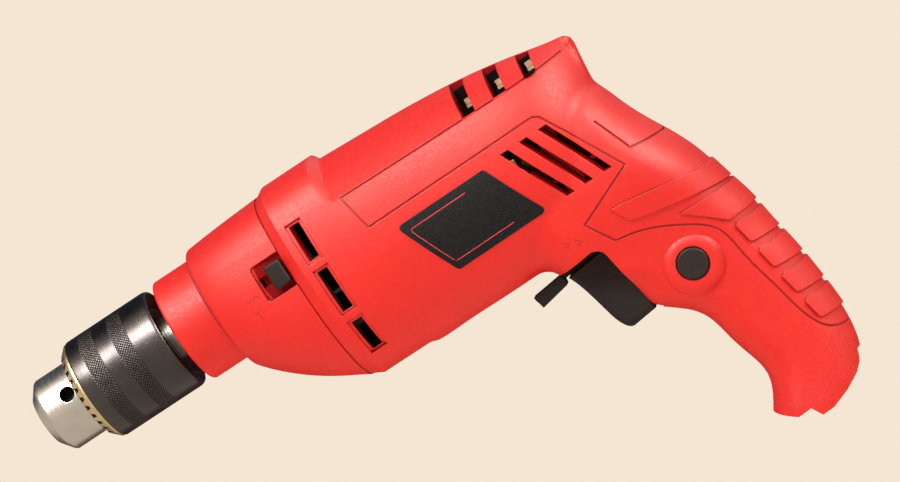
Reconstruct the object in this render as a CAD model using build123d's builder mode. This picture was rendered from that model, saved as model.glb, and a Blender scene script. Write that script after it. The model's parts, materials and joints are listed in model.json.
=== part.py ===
from build123d import *
from math import acos, cos, pi, radians, sin, sqrt, tan
import os

os.makedirs("parts", exist_ok=True)

# Frame: X forward along the spindle, Y to the left, Z up, in mm.
# The origin lies on the spindle axis, in the front face of the clamping collar.

# Clearances
RUN_FIT = 0.06
SEAT_GAP = 0.15
MOVE_GAP = 0.35
SEAM = 0.1

# Keyed chuck
COLLAR_R = 21.5
COLLAR_ROUND = 1.2
CHUCK_GAP = 4.0
SLEEVE_R = 20.9
SLEEVE_LEN = 36.6
SLEEVE_WALL = 1.7
SLEEVE_ROUND = 2.4
RING_LEN = 3.8
RING_R = 20.5
RING_SEAT = 2.6
RING_LAND = 0.8
RING_CONE = 2.8
KEY_TEETH = 30
KEY_TOOTH_DEPTH = 2.0
NOSE_R = 15.2
NOSE_END = 62.9
NOSE_TAPER = 4.4
NOSE_TIP_R = 10.3
CHUCK_BORE_R = 6.75
MOUTH_CHAMFER = 0.9
HUB_R = 14.0
HUB_LEN = 7.0
CHUCK_SEAT_X = 5.0
SCREW_WEB = 4.0
SPINDLE_NOSE_R = 6.35
SPINDLE_NOSE_LEN = 20.5
NUT_LEN = 6.0
JAW_R = 3.6
JAW_ANGLE = 15.0
JAW_TIP_X = 54.0
JAW_TIP_RHO = 8.6
JAW_LEN = 23.3
JAW_CLOSED_R = 0.75
JAW_PHASE = 79.0
KEY_HOLE_R = 3.0
KEY_HOLE_FLOOR_R = 8.6
KEY_HOLE_X = 48.0
CHUCK_SCREW_R = 2.9
CHUCK_SCREW_HEAD_R = 4.8
CHUCK_SCREW_HEAD = 3.2
CHUCK_SCREW_LEN = 18.0

# Gears: one tooth size, two tooth counts and their profile shift
TOOTH_MODULE = 0.75
GEAR_TEETH = 41
PINION_TEETH = 7
PRESSURE_ANGLE = 25.0
TOOTH_SHIFT = 0.4
TOOTH_ADDENDUM = 0.85
BACKLASH = 0.10
GEAR_FACE = 8.0
PINION_LEN = 15.0
MOTOR_DROP = TOOTH_MODULE * (GEAR_TEETH + PINION_TEETH) / 2

# Spindle train
BEARING_BORE_R = 6.0
BEARING_R = 14.0
BEARING_LEN = 8.0
BEARING_FRONT_X = -6.0
THRUST_TRAVEL = 1.2
GEAR_FRONT_X = -30.0
GEAR_SEAT_R = 6.5
JOURNAL_R = 5.0
BUSH_R = 6.2
RATCHET_R = 12.5
RATCHET_BORE_R = 9.2
RATCHET_TEETH = 13
RATCHET_TOOTH = 1.0
RATCHET_BODY = 2.5
RATCHET_GAP = 1.9
SPRING_WIRE = 1.1
SPRING_TURNS = 3

# Gear case and gear plate
CASE_REAR_X = -51.5
CASE_ROUND = 2.2
PLATE_FRONT_X = -46.0
PLATE_FLANGE = 2.8
PLATE_BOSS_R = 14.0
SPINDLE_BOSS_R = 11.0
PLATE_SCREW_TOP_Y = 21.3
PLATE_SCREW_TOP_Z = -10.0
PLATE_SCREW_LOW_Y = 15.5
PLATE_SCREW_LOW_Z = -35.0
PLATE_SCREW_R = 2.0
PLATE_SCREW_HEAD_R = 3.6
PLATE_SCREW_LEN = 16.0

# Housing
WALL = 2.5
BODY_HALF = 34.2
BODY_LOW = -55.6
BAND_LOW = -54.6
BAND_TOP = 28.9
BODY_TOP = 26.0
WAIST_Z = -15.0
BAND_END_X = -76.5
ROOF_START_X = -79.5
GRIP_RISE = 1.1
BLEND_R = 8.0
LABEL_THICK = 0.35
LABEL_ROUND = 1.6
POCKET = 0.9
PANEL_STEP = 0.5
SCREW_R = 1.6
SCREW_HEAD_R = 3.1
SCREW_HEAD = 2.4
SCREW_LEN = 19.0
BOSS_R = 4.4
CORD_R = 4.5
MOUTH_ROOM_R = 28.6
MOUTH_END_X = -57.0
MOTOR_ROOM_R = 31.2
MOTOR_ROOM_Z = -19.5
MOTOR_ROOM_END_X = -146.0
REAR_ROOM_R = 18.0
REAR_ROOM_Z = -15.0
REAR_ROOM_END_X = -167.0

# Gear room and plate outline
PLATE_R = 26.0
PLATE_TOP_R = 20.5
GEAR_ROOM_R = 17.4
PINION_ROOM_R = 6.0
SLIDER_OUT_Y = 24.4
SLIDER_LEN = 5.2
SLIDER_HEIGHT = 10.0

# Motor
SHAFT_R = 4.0
SHAFT_REAR_R = 3.5
MOTOR_BEARING_R = 11.0
MOTOR_BEARING_LEN = 7.0
MOTOR_BEARING_X = -48.5
REAR_BEARING_R = 9.5
REAR_BEARING_LEN = 6.0
REAR_BEARING_X = -152.5
CAP_WALL = 2.0
FAN_R = 27.0
FAN_FRONT_X = -58.5
FAN_DISC = 1.8
FAN_BLADE = 7.5
FAN_BLADES = 11
CORE_FRONT_X = -80.0
CORE_LEN = 42.0
CORE_R = 16.5
CORE_SLOTS = 12
AIR_GAP = 0.6
STATOR_R = 29.0
YOKE = 5.2
POLE_HALF_ANGLE = 62.0
POLE_NECK = 11.0
POLE_SHOE = 3.0
END_TURN = 7.0
COMM_FRONT_X = -132.0
COMM_LEN = 15.0
COMM_R = 11.5
COMM_BARS = 24
BRUSH_W = 6.3
BRUSH_H = 8.0
BRUSH_LEN = 11.0
HOLDER_WALL = 1.0
CAPACITOR_LEN = 16.0
CAPACITOR_W = 17.0
CAPACITOR_H = 10.4
CAPACITOR_Z = -3.4

# Controls, set out in a frame tilted about Y
CONTROL_TILT = 7.0
CONTROL_X = -150.0
CONTROL_Z = -61.0
TRIGGER_HALF = 9.0
TRIGGER_ROUND = 2.6
TRIGGER_TRAVEL = 6.5
TRIGGER_LOW = -28.9
TRIGGER_TOP = 0.5
TRIGGER_REAR = -1.5
TRIGGER_BROW = 16.2
TRIGGER_FOOT = 8.6
GUIDE_REAR = -9.0
STEM_LEN = 13.0
LEVER_THICK = 2.1
LEVER_PIVOT = -12.5
LEVER_PAD = 18.0
LEVER_TIP = 31.4
LEVER_SWING = 10.0
SWITCH_FRONT = -16.0
SWITCH_REAR = -47.0
SWITCH_LOW = -36.0
SWITCH_TOP = -2.5
SWITCH_HALF = 10.0
BUTTON_X = -177.0
BUTTON_Z = -81.8
BUTTON_R = 6.0
BUTTON_TRAVEL = 3.0
BUTTON_FLANGE = 1.0
BUTTON_FACE_Y = 23.4
BOSS_FACE_Y = 22.4
DOME_R = 12.4
DOME_ROOT_Y = 18.4
DOME_RIM = 1.4
KNOB_LEN = 6.6
KNOB_HEIGHT = 9.8
KNOB_REAR_X = -50.6
KNOB_FACE_Y = 33.2
MODE_TRAVEL = 4.0
RECESS_FLOOR_Y = 27.6
NOSE_FRONT = -8.5
NOSE_LOW = -5.0
LEVER_LOW = 0.95
LEVER_PIN_R = 2.0
STEM_LOW = -19.0
STEM_TOP = -13.0
STEM_HALF = 3.0
BUTTON_PIN_R = 2.5

# Derived chuck stations
SLEEVE_BACK = CHUCK_GAP
SLEEVE_FRONT = SLEEVE_BACK + SLEEVE_LEN
SLEEVE_IN_R = SLEEVE_R - SLEEVE_WALL
RING_FRONT = SLEEVE_FRONT + RING_LEN
RING_BACK = SLEEVE_FRONT - RING_SEAT
NUT_FRONT = RING_BACK
NUT_BACK = NUT_FRONT - NUT_LEN
HUB_FRONT = CHUCK_SEAT_X + HUB_LEN
SPINDLE_NOSE_X = CHUCK_SEAT_X + SPINDLE_NOSE_LEN
WEB_BACK = SPINDLE_NOSE_X + MOVE_GAP
SCREW_SEAT_X = WEB_BACK + SCREW_WEB
BORE_FLOOR = SCREW_SEAT_X + CHUCK_SCREW_HEAD + SEAT_GAP
JAW_DIR = (cos(radians(JAW_ANGLE)), 0, -sin(radians(JAW_ANGLE)))
JAW_TRAVEL = (CHUCK_BORE_R - JAW_CLOSED_R) / sin(radians(JAW_ANGLE))
JAW_TAN = tan(radians(JAW_ANGLE))


def jaw_outer(x):
    return JAW_TIP_RHO + (JAW_TIP_X - x) * JAW_TAN + JAW_R / cos(radians(JAW_ANGLE))


# Chuck body: nose, nut groove, flange and hub, bored for shank, screw and spindle
with BuildPart() as chuck_body:
    with BuildSketch(Plane.XZ):
        with BuildLine():
            Polyline(
                (CHUCK_SEAT_X, SPINDLE_NOSE_R + RUN_FIT),
                (CHUCK_SEAT_X, HUB_R - 1),
                (CHUCK_SEAT_X + 1, HUB_R),
                (HUB_FRONT, HUB_R),
                (HUB_FRONT + 1.5, SLEEVE_IN_R - MOVE_GAP),
                (NUT_BACK - MOVE_GAP, SLEEVE_IN_R - MOVE_GAP),
                (NUT_BACK - MOVE_GAP, NOSE_R - 3),
                (NUT_FRONT + MOVE_GAP, NOSE_R - 3),
                (NUT_FRONT + MOVE_GAP, NOSE_R),
                (NOSE_END - NOSE_TAPER, NOSE_R),
                (NOSE_END - NOSE_TAPER * 0.8, NOSE_R - 0.5),
                (NOSE_END, NOSE_TIP_R),
                (NOSE_END, CHUCK_BORE_R + MOUTH_CHAMFER),
                (NOSE_END - MOUTH_CHAMFER, CHUCK_BORE_R),
                (BORE_FLOOR, CHUCK_BORE_R),
                (BORE_FLOOR, CHUCK_SCREW_HEAD_R + SEAT_GAP),
                (SCREW_SEAT_X, CHUCK_SCREW_HEAD_R + SEAT_GAP),
                (SCREW_SEAT_X, CHUCK_SCREW_R + RUN_FIT),
                (WEB_BACK, CHUCK_SCREW_R + RUN_FIT),
                (WEB_BACK, SPINDLE_NOSE_R + RUN_FIT),
                close=True,
            )
        make_face()
    revolve(axis=Axis.X)
    for k in range(3):
        phase = radians(JAW_PHASE + 120 * k)
        out = Vector(0, cos(phase), sin(phase))
        along = Vector(JAW_DIR[0], JAW_DIR[2] * out.Y, JAW_DIR[2] * out.Z)
        tip = Vector(JAW_TIP_X, 0, 0) + out * JAW_TIP_RHO
        with BuildSketch(Plane(origin=tip - along * (JAW_LEN + 1), z_dir=along)):
            Circle(JAW_R + RUN_FIT)
        extrude(amount=JAW_LEN + NOSE_END - JAW_TIP_X + 6, mode=Mode.SUBTRACT)
    for k in range(3):
        phase = radians(JAW_PHASE + 60 + 120 * k)
        out = Vector(0, cos(phase), sin(phase))
        with BuildSketch(Plane(origin=Vector(KEY_HOLE_X, 0, 0) + out * KEY_HOLE_FLOOR_R, z_dir=out)):
            Circle(KEY_HOLE_R)
        extrude(amount=NOSE_R, mode=Mode.SUBTRACT)
chuck_body.part.label = "chuck_body"

# Outer sleeve: a rounded cup whose dished rear closes in round the hub
with BuildPart() as chuck_sleeve:
    with BuildSketch(Plane.XZ):
        with BuildLine():
            Polyline(
                (HUB_FRONT - MOVE_GAP, SLEEVE_IN_R),
                (HUB_FRONT - MOVE_GAP, HUB_R + MOVE_GAP),
                (HUB_FRONT - MOVE_GAP - SLEEVE_WALL, HUB_R + MOVE_GAP),
                (SLEEVE_BACK + SLEEVE_ROUND * 0.8, SLEEVE_IN_R - SLEEVE_WALL),
                (SLEEVE_BACK, SLEEVE_IN_R),
                (SLEEVE_BACK, SLEEVE_R - SLEEVE_ROUND * 0.5),
                (SLEEVE_BACK + SLEEVE_ROUND * 0.3, SLEEVE_R - SLEEVE_ROUND * 0.15),
                (SLEEVE_BACK + SLEEVE_ROUND, SLEEVE_R),
                (SLEEVE_FRONT - 0.6, SLEEVE_R),
                (SLEEVE_FRONT, SLEEVE_R - 0.6),
                (SLEEVE_FRONT, SLEEVE_IN_R),
                close=True,
            )
        make_face()
    revolve(axis=Axis.X)
chuck_sleeve.part.label = "chuck_sleeve"

# Key ring: seated in the sleeve, with bevel teeth on its front edge
with BuildPart() as key_ring:
    with BuildSketch(Plane.XZ):
        with BuildLine():
            Polyline(
                (RING_BACK, jaw_outer(RING_BACK) + MOVE_GAP),
                (RING_BACK, SLEEVE_IN_R),
                (SLEEVE_FRONT, SLEEVE_IN_R),
                (SLEEVE_FRONT, RING_R),
                (SLEEVE_FRONT + RING_LAND, RING_R),
                (RING_FRONT, RING_R - RING_CONE),
                (RING_FRONT, NOSE_R + MOVE_GAP),
                close=True,
            )
        make_face()
    revolve(axis=Axis.X)
    tooth_pitch = 2 * pi * RING_R / KEY_TEETH
    for k in range(KEY_TEETH):
        turn = radians(JAW_PHASE + 360 / KEY_TEETH * (k + 0.5))
        out = Vector(0, cos(turn), sin(turn))
        side = Vector(0, -sin(turn), cos(turn))
        with BuildSketch(Plane(origin=out * (NOSE_R + 1.6), x_dir=side, z_dir=out)):
            with BuildLine():
                Polyline(
                    (-tooth_pitch * 0.14, RING_FRONT - KEY_TOOTH_DEPTH),
                    (tooth_pitch * 0.14, RING_FRONT - KEY_TOOTH_DEPTH),
                    (tooth_pitch * 0.36, RING_FRONT + 1),
                    (-tooth_pitch * 0.36, RING_FRONT + 1),
                    close=True,
                )
            make_face()
    extrude(amount=RING_R, mode=Mode.SUBTRACT)
key_ring.part.label = "key_ring"

# Split jaw nut: two halves round the jaws, coned inside like the jaws' slope
with BuildPart() as jaw_nut:
    with BuildSketch(Plane.XZ):
        with BuildLine():
            Polyline(
                (NUT_BACK, jaw_outer(NUT_BACK) + MOVE_GAP),
                (NUT_BACK, SLEEVE_IN_R),
                (NUT_FRONT, SLEEVE_IN_R),
                (NUT_FRONT, jaw_outer(NUT_FRONT) + MOVE_GAP),
                close=True,
            )
        make_face()
    revolve(axis=Axis.X)
    with BuildSketch(Plane.XY.offset(-SLEEVE_R)):
        with Locations((NUT_FRONT - NUT_LEN / 2, 0)):
            Rectangle(NUT_LEN + 2, 0.3)
    extrude(amount=2 * SLEEVE_R, mode=Mode.SUBTRACT)
jaw_nut.part.label = "jaw_nut"


def jaw_blank(phase):
    turn = radians(phase)
    out = Vector(0, cos(turn), sin(turn))
    along = Vector(JAW_DIR[0], JAW_DIR[2] * out.Y, JAW_DIR[2] * out.Z)
    side = Vector(0, -sin(turn), cos(turn))
    tip = Vector(JAW_TIP_X, 0, 0) + out * JAW_TIP_RHO
    apex = CHUCK_BORE_R - JAW_CLOSED_R + 2 * RUN_FIT
    span = 2 * SLEEVE_R
    with BuildPart() as jaw:
        with BuildSketch(Plane(origin=tip - along * JAW_LEN, z_dir=along)):
            Circle(JAW_R)
        extrude(amount=JAW_LEN + 2 * JAW_R)
        with BuildSketch(Plane(origin=(0, 0, 0), x_dir=out, z_dir=(1, 0, 0))):
            with BuildLine():
                Polyline(
                    (apex, 0),
                    (apex + span, span * tan(radians(60))),
                    (apex + span, -span * tan(radians(60))),
                    close=True,
                )
            make_face()
        extrude(amount=JAW_TIP_X, mode=Mode.INTERSECT)
        with BuildSketch(Plane.YZ):
            Circle(CHUCK_BORE_R + RUN_FIT)
        extrude(amount=JAW_TIP_X + 1, mode=Mode.SUBTRACT)
    return jaw.part


with BuildPart() as jaw_1:
    add(jaw_blank(JAW_PHASE))
jaw_1.part.label = "jaw_1"
with BuildPart() as jaw_2:
    add(jaw_blank(JAW_PHASE + 120))
jaw_2.part.label = "jaw_2"
with BuildPart() as jaw_3:
    add(jaw_blank(JAW_PHASE + 240))
jaw_3.part.label = "jaw_3"

# Chuck screw: holds the chuck to the spindle through the web
with BuildPart() as chuck_screw:
    with BuildSketch(Plane.YZ.offset(SCREW_SEAT_X)):
        Circle(CHUCK_SCREW_HEAD_R)
    extrude(amount=CHUCK_SCREW_HEAD)
    with BuildSketch(Plane.YZ.offset(SCREW_SEAT_X - CHUCK_SCREW_LEN)):
        Circle(CHUCK_SCREW_R)
    extrude(amount=CHUCK_SCREW_LEN)
    with BuildSketch(Plane.YZ.offset(SCREW_SEAT_X + CHUCK_SCREW_HEAD)):
        Rectangle(5.4, 1.1)
        Rectangle(1.1, 5.4)
    extrude(amount=-1.8, mode=Mode.SUBTRACT)
chuck_screw.part.label = "chuck_screw"

# Spindle stations
SPINDLE_REAR = PLATE_FRONT_X - 4.5
GEAR_BACK_X = GEAR_FRONT_X - GEAR_FACE
RATCHET_BACK = GEAR_BACK_X - RATCHET_BODY
BEARING_BACK_X = BEARING_FRONT_X - BEARING_LEN

with BuildPart() as spindle:
    with BuildSketch(Plane.XZ):
        with BuildLine():
            Polyline(
                (SPINDLE_REAR, 0),
                (SPINDLE_REAR, JOURNAL_R),
                (RATCHET_BACK, JOURNAL_R),
                (RATCHET_BACK, GEAR_SEAT_R),
                (GEAR_FRONT_X, GEAR_SEAT_R),
                (GEAR_FRONT_X, GEAR_SEAT_R + 2.5),
                (GEAR_FRONT_X + 3, GEAR_SEAT_R + 2.5),
                (GEAR_FRONT_X + 4, BEARING_BORE_R + 1.5),
                (BEARING_BACK_X, BEARING_BORE_R + 1.5),
                (BEARING_BACK_X, BEARING_BORE_R),
                (BEARING_FRONT_X, BEARING_BORE_R),
                (BEARING_FRONT_X, SPINDLE_NOSE_R + 2.4),
                (CHUCK_SEAT_X, SPINDLE_NOSE_R + 2.4),
                (CHUCK_SEAT_X, SPINDLE_NOSE_R),
                (SPINDLE_NOSE_X - 0.8, SPINDLE_NOSE_R),
                (SPINDLE_NOSE_X, SPINDLE_NOSE_R - 0.8),
                (SPINDLE_NOSE_X, 0),
                close=True,
            )
        make_face()
    revolve(axis=Axis.X)
    with BuildSketch(Plane.YZ.offset(SPINDLE_NOSE_X)):
        Circle(CHUCK_SCREW_R + RUN_FIT)
    extrude(amount=-CHUCK_SCREW_LEN, mode=Mode.SUBTRACT)
spindle.part.label = "spindle"


def involute(angle):
    return tan(angle) - angle


def tooth_angle(teeth, shift, radius):
    pitch_r = TOOTH_MODULE * teeth / 2
    base_r = pitch_r * cos(radians(PRESSURE_ANGLE))
    half = (pi / 2 + 2 * shift * tan(radians(PRESSURE_ANGLE))) / teeth - BACKLASH / 4 / pitch_r
    here = acos(min(1.0, base_r / max(radius, base_r)))
    return half + involute(radians(PRESSURE_ANGLE)) - involute(here)


def spur_sketch(teeth, shift, phase, place):
    pitch_r = TOOTH_MODULE * teeth / 2
    base_r = pitch_r * cos(radians(PRESSURE_ANGLE))
    tip_r = pitch_r + TOOTH_MODULE * (TOOTH_ADDENDUM + shift)
    root_r = pitch_r - TOOTH_MODULE * (1.25 - shift)
    start_r = max(base_r, root_r)
    mean_r = (start_r + tip_r) / 2
    foot = tooth_angle(teeth, shift, start_r)
    step = 2 * pi / teeth

    def polar(radius, turn):
        return (radius * cos(turn), radius * sin(turn))

    def flank(radius, mid, sign):
        return polar(radius, mid + sign * tooth_angle(teeth, shift, radius))

    with BuildSketch(place) as wheel:
        with BuildLine():
            for k in range(teeth):
                mid = phase + step * k
                if base_r > root_r:
                    Line(polar(root_r, mid - foot), flank(start_r, mid, -1))
                    Line(flank(start_r, mid, 1), polar(root_r, mid + foot))
                ThreePointArc(flank(start_r, mid, -1), flank(mean_r, mid, -1), flank(tip_r, mid, -1))
                ThreePointArc(flank(tip_r, mid, -1), polar(tip_r, mid), flank(tip_r, mid, 1))
                ThreePointArc(flank(tip_r, mid, 1), flank(mean_r, mid, 1), flank(start_r, mid, 1))
                ThreePointArc(
                    polar(root_r, mid + foot),
                    polar(root_r, mid + step / 2),
                    polar(root_r, mid + step - foot),
                )
        make_face()
    return wheel.sketch


# Output gear: a tooth of the gear points down at the pinion, a gap of the pinion points up
with BuildPart() as output_gear:
    add(spur_sketch(GEAR_TEETH, -TOOTH_SHIFT, -pi / 2, Plane.YZ.offset(GEAR_BACK_X)))
    extrude(amount=GEAR_FACE, dir=(1, 0, 0))
    with BuildSketch(Plane.YZ.offset(GEAR_BACK_X)):
        Circle(GEAR_SEAT_R)
    extrude(amount=GEAR_FACE, mode=Mode.SUBTRACT)
    with BuildSketch(Plane.YZ.offset(GEAR_FRONT_X)):
        Circle(12.4)
        Circle(GEAR_SEAT_R + 3.0, mode=Mode.SUBTRACT)
    extrude(amount=-2.0, mode=Mode.SUBTRACT)
output_gear.part.label = "output_gear"


def ratchet(back, front, tip, bore):
    with BuildPart() as disc:
        with BuildSketch(Plane.YZ.offset(back)):
            Circle(RATCHET_R)
            Circle(bore, mode=Mode.SUBTRACT)
        extrude(amount=front - back)
        base = front if tip > front else back
        for k in range(RATCHET_TEETH):
            turn = 2 * pi * k / RATCHET_TEETH
            out = Vector(0, cos(turn), sin(turn))
            side = Vector(0, -sin(turn), cos(turn))
            width = 2 * pi * RATCHET_BORE_R / RATCHET_TEETH * 0.85
            with BuildSketch(Plane(origin=out * (RATCHET_BORE_R + 0.1), x_dir=side, z_dir=out)):
                with BuildLine():
                    Polyline(
                        (-width / 2, base),
                        (width / 2, base),
                        (width / 2, tip),
                        (width / 2 - 0.5, tip),
                        close=True,
                    )
                make_face()
            extrude(amount=RATCHET_R - RATCHET_BORE_R - 0.4)
    return disc.part


# Ratchet pair: crests stay apart over the whole thrust travel
RATCHET_TIP = RATCHET_BACK - RATCHET_TOOTH
FIXED_TIP = RATCHET_TIP - RATCHET_GAP
FIXED_FRONT = FIXED_TIP - RATCHET_TOOTH
with BuildPart() as turning_ratchet:
    add(ratchet(RATCHET_BACK, GEAR_BACK_X, RATCHET_TIP, GEAR_SEAT_R))
turning_ratchet.part.label = "turning_ratchet"
with BuildPart() as fixed_ratchet:
    add(ratchet(PLATE_FRONT_X, FIXED_FRONT, FIXED_TIP, RATCHET_BORE_R))
fixed_ratchet.part.label = "fixed_ratchet"

# Spindle spring: pushes the spindle forward, away from the fixed ratchet
SPRING_R = JOURNAL_R + RUN_FIT + SPRING_WIRE
SPRING_SPAN = RATCHET_BACK - PLATE_FRONT_X - SPRING_WIRE
with BuildPart() as spindle_spring:
    with BuildLine() as spring_path:
        Helix(
            pitch=SPRING_SPAN / SPRING_TURNS,
            height=SPRING_SPAN,
            radius=SPRING_R,
            center=(PLATE_FRONT_X + SPRING_WIRE / 2, 0, 0),
            direction=(1, 0, 0),
        )
    with BuildSketch(Plane(origin=spring_path.line @ 0, z_dir=spring_path.line % 0)):
        Circle(SPRING_WIRE / 2)
    sweep()
spindle_spring.part.label = "spindle_spring"

# Front bearing: the outer ring slides in the collar bore, the inner ring turns with the spindle
RACE_RIB = (BEARING_R - BEARING_BORE_R) * 0.32
with BuildPart() as bearing_outer:
    with BuildSketch(Plane.YZ.offset(BEARING_BACK_X)):
        Circle(BEARING_R)
        Circle(BEARING_R - RACE_RIB, mode=Mode.SUBTRACT)
    extrude(amount=BEARING_LEN)
    with BuildSketch(Plane.YZ.offset(BEARING_BACK_X + 0.4)):
        Circle(BEARING_R - RACE_RIB)
        Circle(BEARING_BORE_R + RACE_RIB + MOVE_GAP, mode=Mode.SUBTRACT)
    extrude(amount=0.8)
    with BuildSketch(Plane.YZ.offset(BEARING_FRONT_X - 0.4)):
        Circle(BEARING_R - RACE_RIB)
        Circle(BEARING_BORE_R + RACE_RIB + MOVE_GAP, mode=Mode.SUBTRACT)
    extrude(amount=-0.8)
bearing_outer.part.label = "bearing_outer"
with BuildPart() as bearing_inner:
    with BuildSketch(Plane.YZ.offset(BEARING_BACK_X)):
        Circle(BEARING_BORE_R + RACE_RIB)
        Circle(BEARING_BORE_R, mode=Mode.SUBTRACT)
    extrude(amount=BEARING_LEN)
bearing_inner.part.label = "bearing_inner"

# Retaining ring: a split ring that keeps the front bearing from coming out behind
with BuildPart() as retaining_ring:
    with BuildSketch(Plane.YZ.offset(BEARING_BACK_X - THRUST_TRAVEL - MOVE_GAP - 1.2)):
        Circle(BEARING_R + 1.0)
        Circle(BEARING_R - 1.8, mode=Mode.SUBTRACT)
        with Locations((0, -BEARING_R)):
            Rectangle(4.0, 6.0, mode=Mode.SUBTRACT)
    extrude(amount=1.2)
retaining_ring.part.label = "retaining_ring"

with BuildPart() as spindle_bush:
    with BuildSketch(Plane.YZ.offset(CASE_REAR_X)):
        Circle(BUSH_R)
        Circle(JOURNAL_R + RUN_FIT, mode=Mode.SUBTRACT)
    extrude(amount=PLATE_FRONT_X - CASE_REAR_X)
spindle_bush.part.label = "spindle_bush"


# Body sections: a half ellipse below the waist, two drawn-in sides and a roof between the shoulders
def body_section(x, low, waist, half, shoulder_z, shoulder_y, top, slope, inset):
    a = half - inset
    b = shoulder_y - inset * 0.9
    sz = shoulder_z - inset * 0.4
    tz = top - inset
    rise = (-cos(radians(slope)), sin(radians(slope)))
    fall = (-cos(radians(slope)), -sin(radians(slope)))
    with BuildSketch(Plane.YZ.offset(x)) as section:
        with BuildLine():
            EllipticalCenterArc((0, waist), a, waist - low - inset, 180, arc_size=180)
            TangentArc((a, waist), (b, sz), tangent=(0, 1))
            Spline((b, sz), (0, tz), (-b, sz), tangents=(rise, fall))
            TangentArc((-a, waist), (-b, sz), tangent=(0, 1))
        make_face()
    return section.sketch


# Hand-set stations, eased between by a monotone cubic so that sections can be spaced evenly
SMOOTH = 71
CREASE = 45
CASE_STATIONS = (
    (-17.2, -26.2, -3.0, 24.2, 12.0, 20.6, 24.6, 62),
    (-25.0, -34.7, -6.0, 27.6, 12.5, 23.6, 25.3, 63),
    (-36.0, -43.6, -10.0, 30.2, 12.0, 26.0, 26.1, 66),
    (CASE_REAR_X, BAND_LOW + 1.8, WAIST_Z, 32.2, 11.5, 28.0, 26.9, 69),
)
LIP_STATION = (CASE_REAR_X, BAND_LOW + 2.2, WAIST_Z, 31.8, 11.5, 27.6, 26.3, 69)
BAND_FRONT = (-55.8, BAND_LOW, WAIST_Z, BODY_HALF, 13.0, 29.8, BAND_TOP, SMOOTH)
BAND_REAR = (BAND_END_X, BAND_LOW, WAIST_Z, BODY_HALF, 13.0, 29.8, BAND_TOP, SMOOTH)
BODY_STATIONS = (
    (ROOF_START_X, BODY_LOW, WAIST_Z, BODY_HALF, 10.2, 30.2, BODY_TOP, CREASE),
    (-118.0, BODY_LOW, WAIST_Z, BODY_HALF - 0.2, 9.6, 29.4, 24.1, CREASE),
    (-149.0, -54.0, WAIST_Z, BODY_HALF - 2.2, 9.3, 26.0, 20.6, CREASE - 3),
    (-167.0, -45.0, -13.0, 25.0, 9.4, 18.4, 16.9, CREASE - 6),
    (-177.5, -28.0, -8.0, 14.2, 10.0, 9.0, 14.6, CREASE - 8),
    (-183.4, 8.4, 9.4, 4.2, 10.9, 3.4, 12.4, CREASE - 10),
)
# Handle sections: height, front, rear, half width, front and rear end lengths
HANDLE_STATIONS = (
    (2.0, -136.0, -178.6, 17.0, 14.0, 15.0),
    (-14.0, -134.0, -184.9, 24.0, 14.0, 18.0),
    (-26.7, -132.0, -189.8, 27.0, 14.0, 20.0),
    (-41.0, -129.5, -197.6, 27.4, 14.0, 21.0),
    (-53.0, -129.0, -201.6, 25.8, 14.0, 21.0),
    (-62.5, -133.0, -204.4, 23.4, 14.0, 21.0),
    (-76.0, -148.0, -207.2, 20.8, 15.0, 20.0),
    (-90.0, -156.2, -209.4, 19.2, 15.0, 19.5),
    (-100.0, -167.6, -211.0, 18.4, 15.0, 19.0),
    (-112.0, -170.8, -212.2, 17.6, 14.0, 18.5),
    (-125.0, -174.4, -213.0, 17.2, 14.0, 18.0),
    (-134.0, -176.4, -212.8, 17.0, 13.0, 17.0),
    (-147.0, -168.4, -208.4, 18.6, 14.0, 17.0),
    (-162.0, -166.8, -204.0, 18.0, 13.0, 16.0),
)


def eased(stations, at):
    keys = [s[0] for s in stations]
    i = 0
    while i < len(keys) - 2 and (at - keys[i + 1]) * (keys[-1] - keys[0]) > 0:
        i += 1
    span = keys[i + 1] - keys[i]
    t = (at - keys[i]) / span
    values = [at]
    for c in range(1, len(stations[0])):
        rates = []
        for k in range(len(keys) - 1):
            rates.append((stations[k + 1][c] - stations[k][c]) / (keys[k + 1] - keys[k]))
        slopes = [rates[0]]
        for k in range(1, len(rates)):
            same = rates[k - 1] * rates[k] > 0
            slopes.append(2 * rates[k - 1] * rates[k] / (rates[k - 1] + rates[k]) if same else 0.0)
        slopes.append(rates[-1])
        y0, y1 = stations[i][c], stations[i + 1][c]
        m0, m1 = slopes[i] * span, slopes[i + 1] * span
        value = (2 * t**3 - 3 * t**2 + 1) * y0 + (t**3 - 2 * t**2 + t) * m0
        values.append(value + (3 * t**2 - 2 * t**3) * y1 + (t**3 - t**2) * m1)
    return values


def body_loft(stations, start, end, count, inset):
    with BuildPart() as form:
        for k in range(count):
            add(body_section(*eased(stations, start + (end - start) * k / (count - 1)), inset))
        loft()
    return form.part


def plain_loft(first, second, inset):
    with BuildPart() as form:
        add(body_section(*first, inset))
        add(body_section(*second, inset))
        loft(ruled=True)
    return form.part


def handle_loft(start, end, count, inset):
    with BuildPart() as form:
        for k in range(count):
            at = start + (end - start) * k / (count - 1)
            z, front, rear, half, nose, tail = eased(HANDLE_STATIONS, at)
            with BuildSketch(Plane.XY.offset(z)):
                with BuildLine():
                    EllipticalCenterArc((front - nose, 0), nose - inset, half - inset, -90, arc_size=180)
                    Line((front - nose, half - inset), (rear + tail, half - inset))
                    EllipticalCenterArc((rear + tail, 0), tail - inset, half - inset, 90, arc_size=180)
                    Line((rear + tail, -half + inset), (front - nose, -half + inset))
                make_face()
        loft()
    return form.part


BODY_REAR_X = BODY_STATIONS[-1][0]
BODY_CUTS = 9
HANDLE_CUTS = 15
SIDE_REACH = 44
HANDLE_TOP_Z = HANDLE_STATIONS[0][0]
HANDLE_LOW_Z = HANDLE_STATIONS[-1][0]


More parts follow.
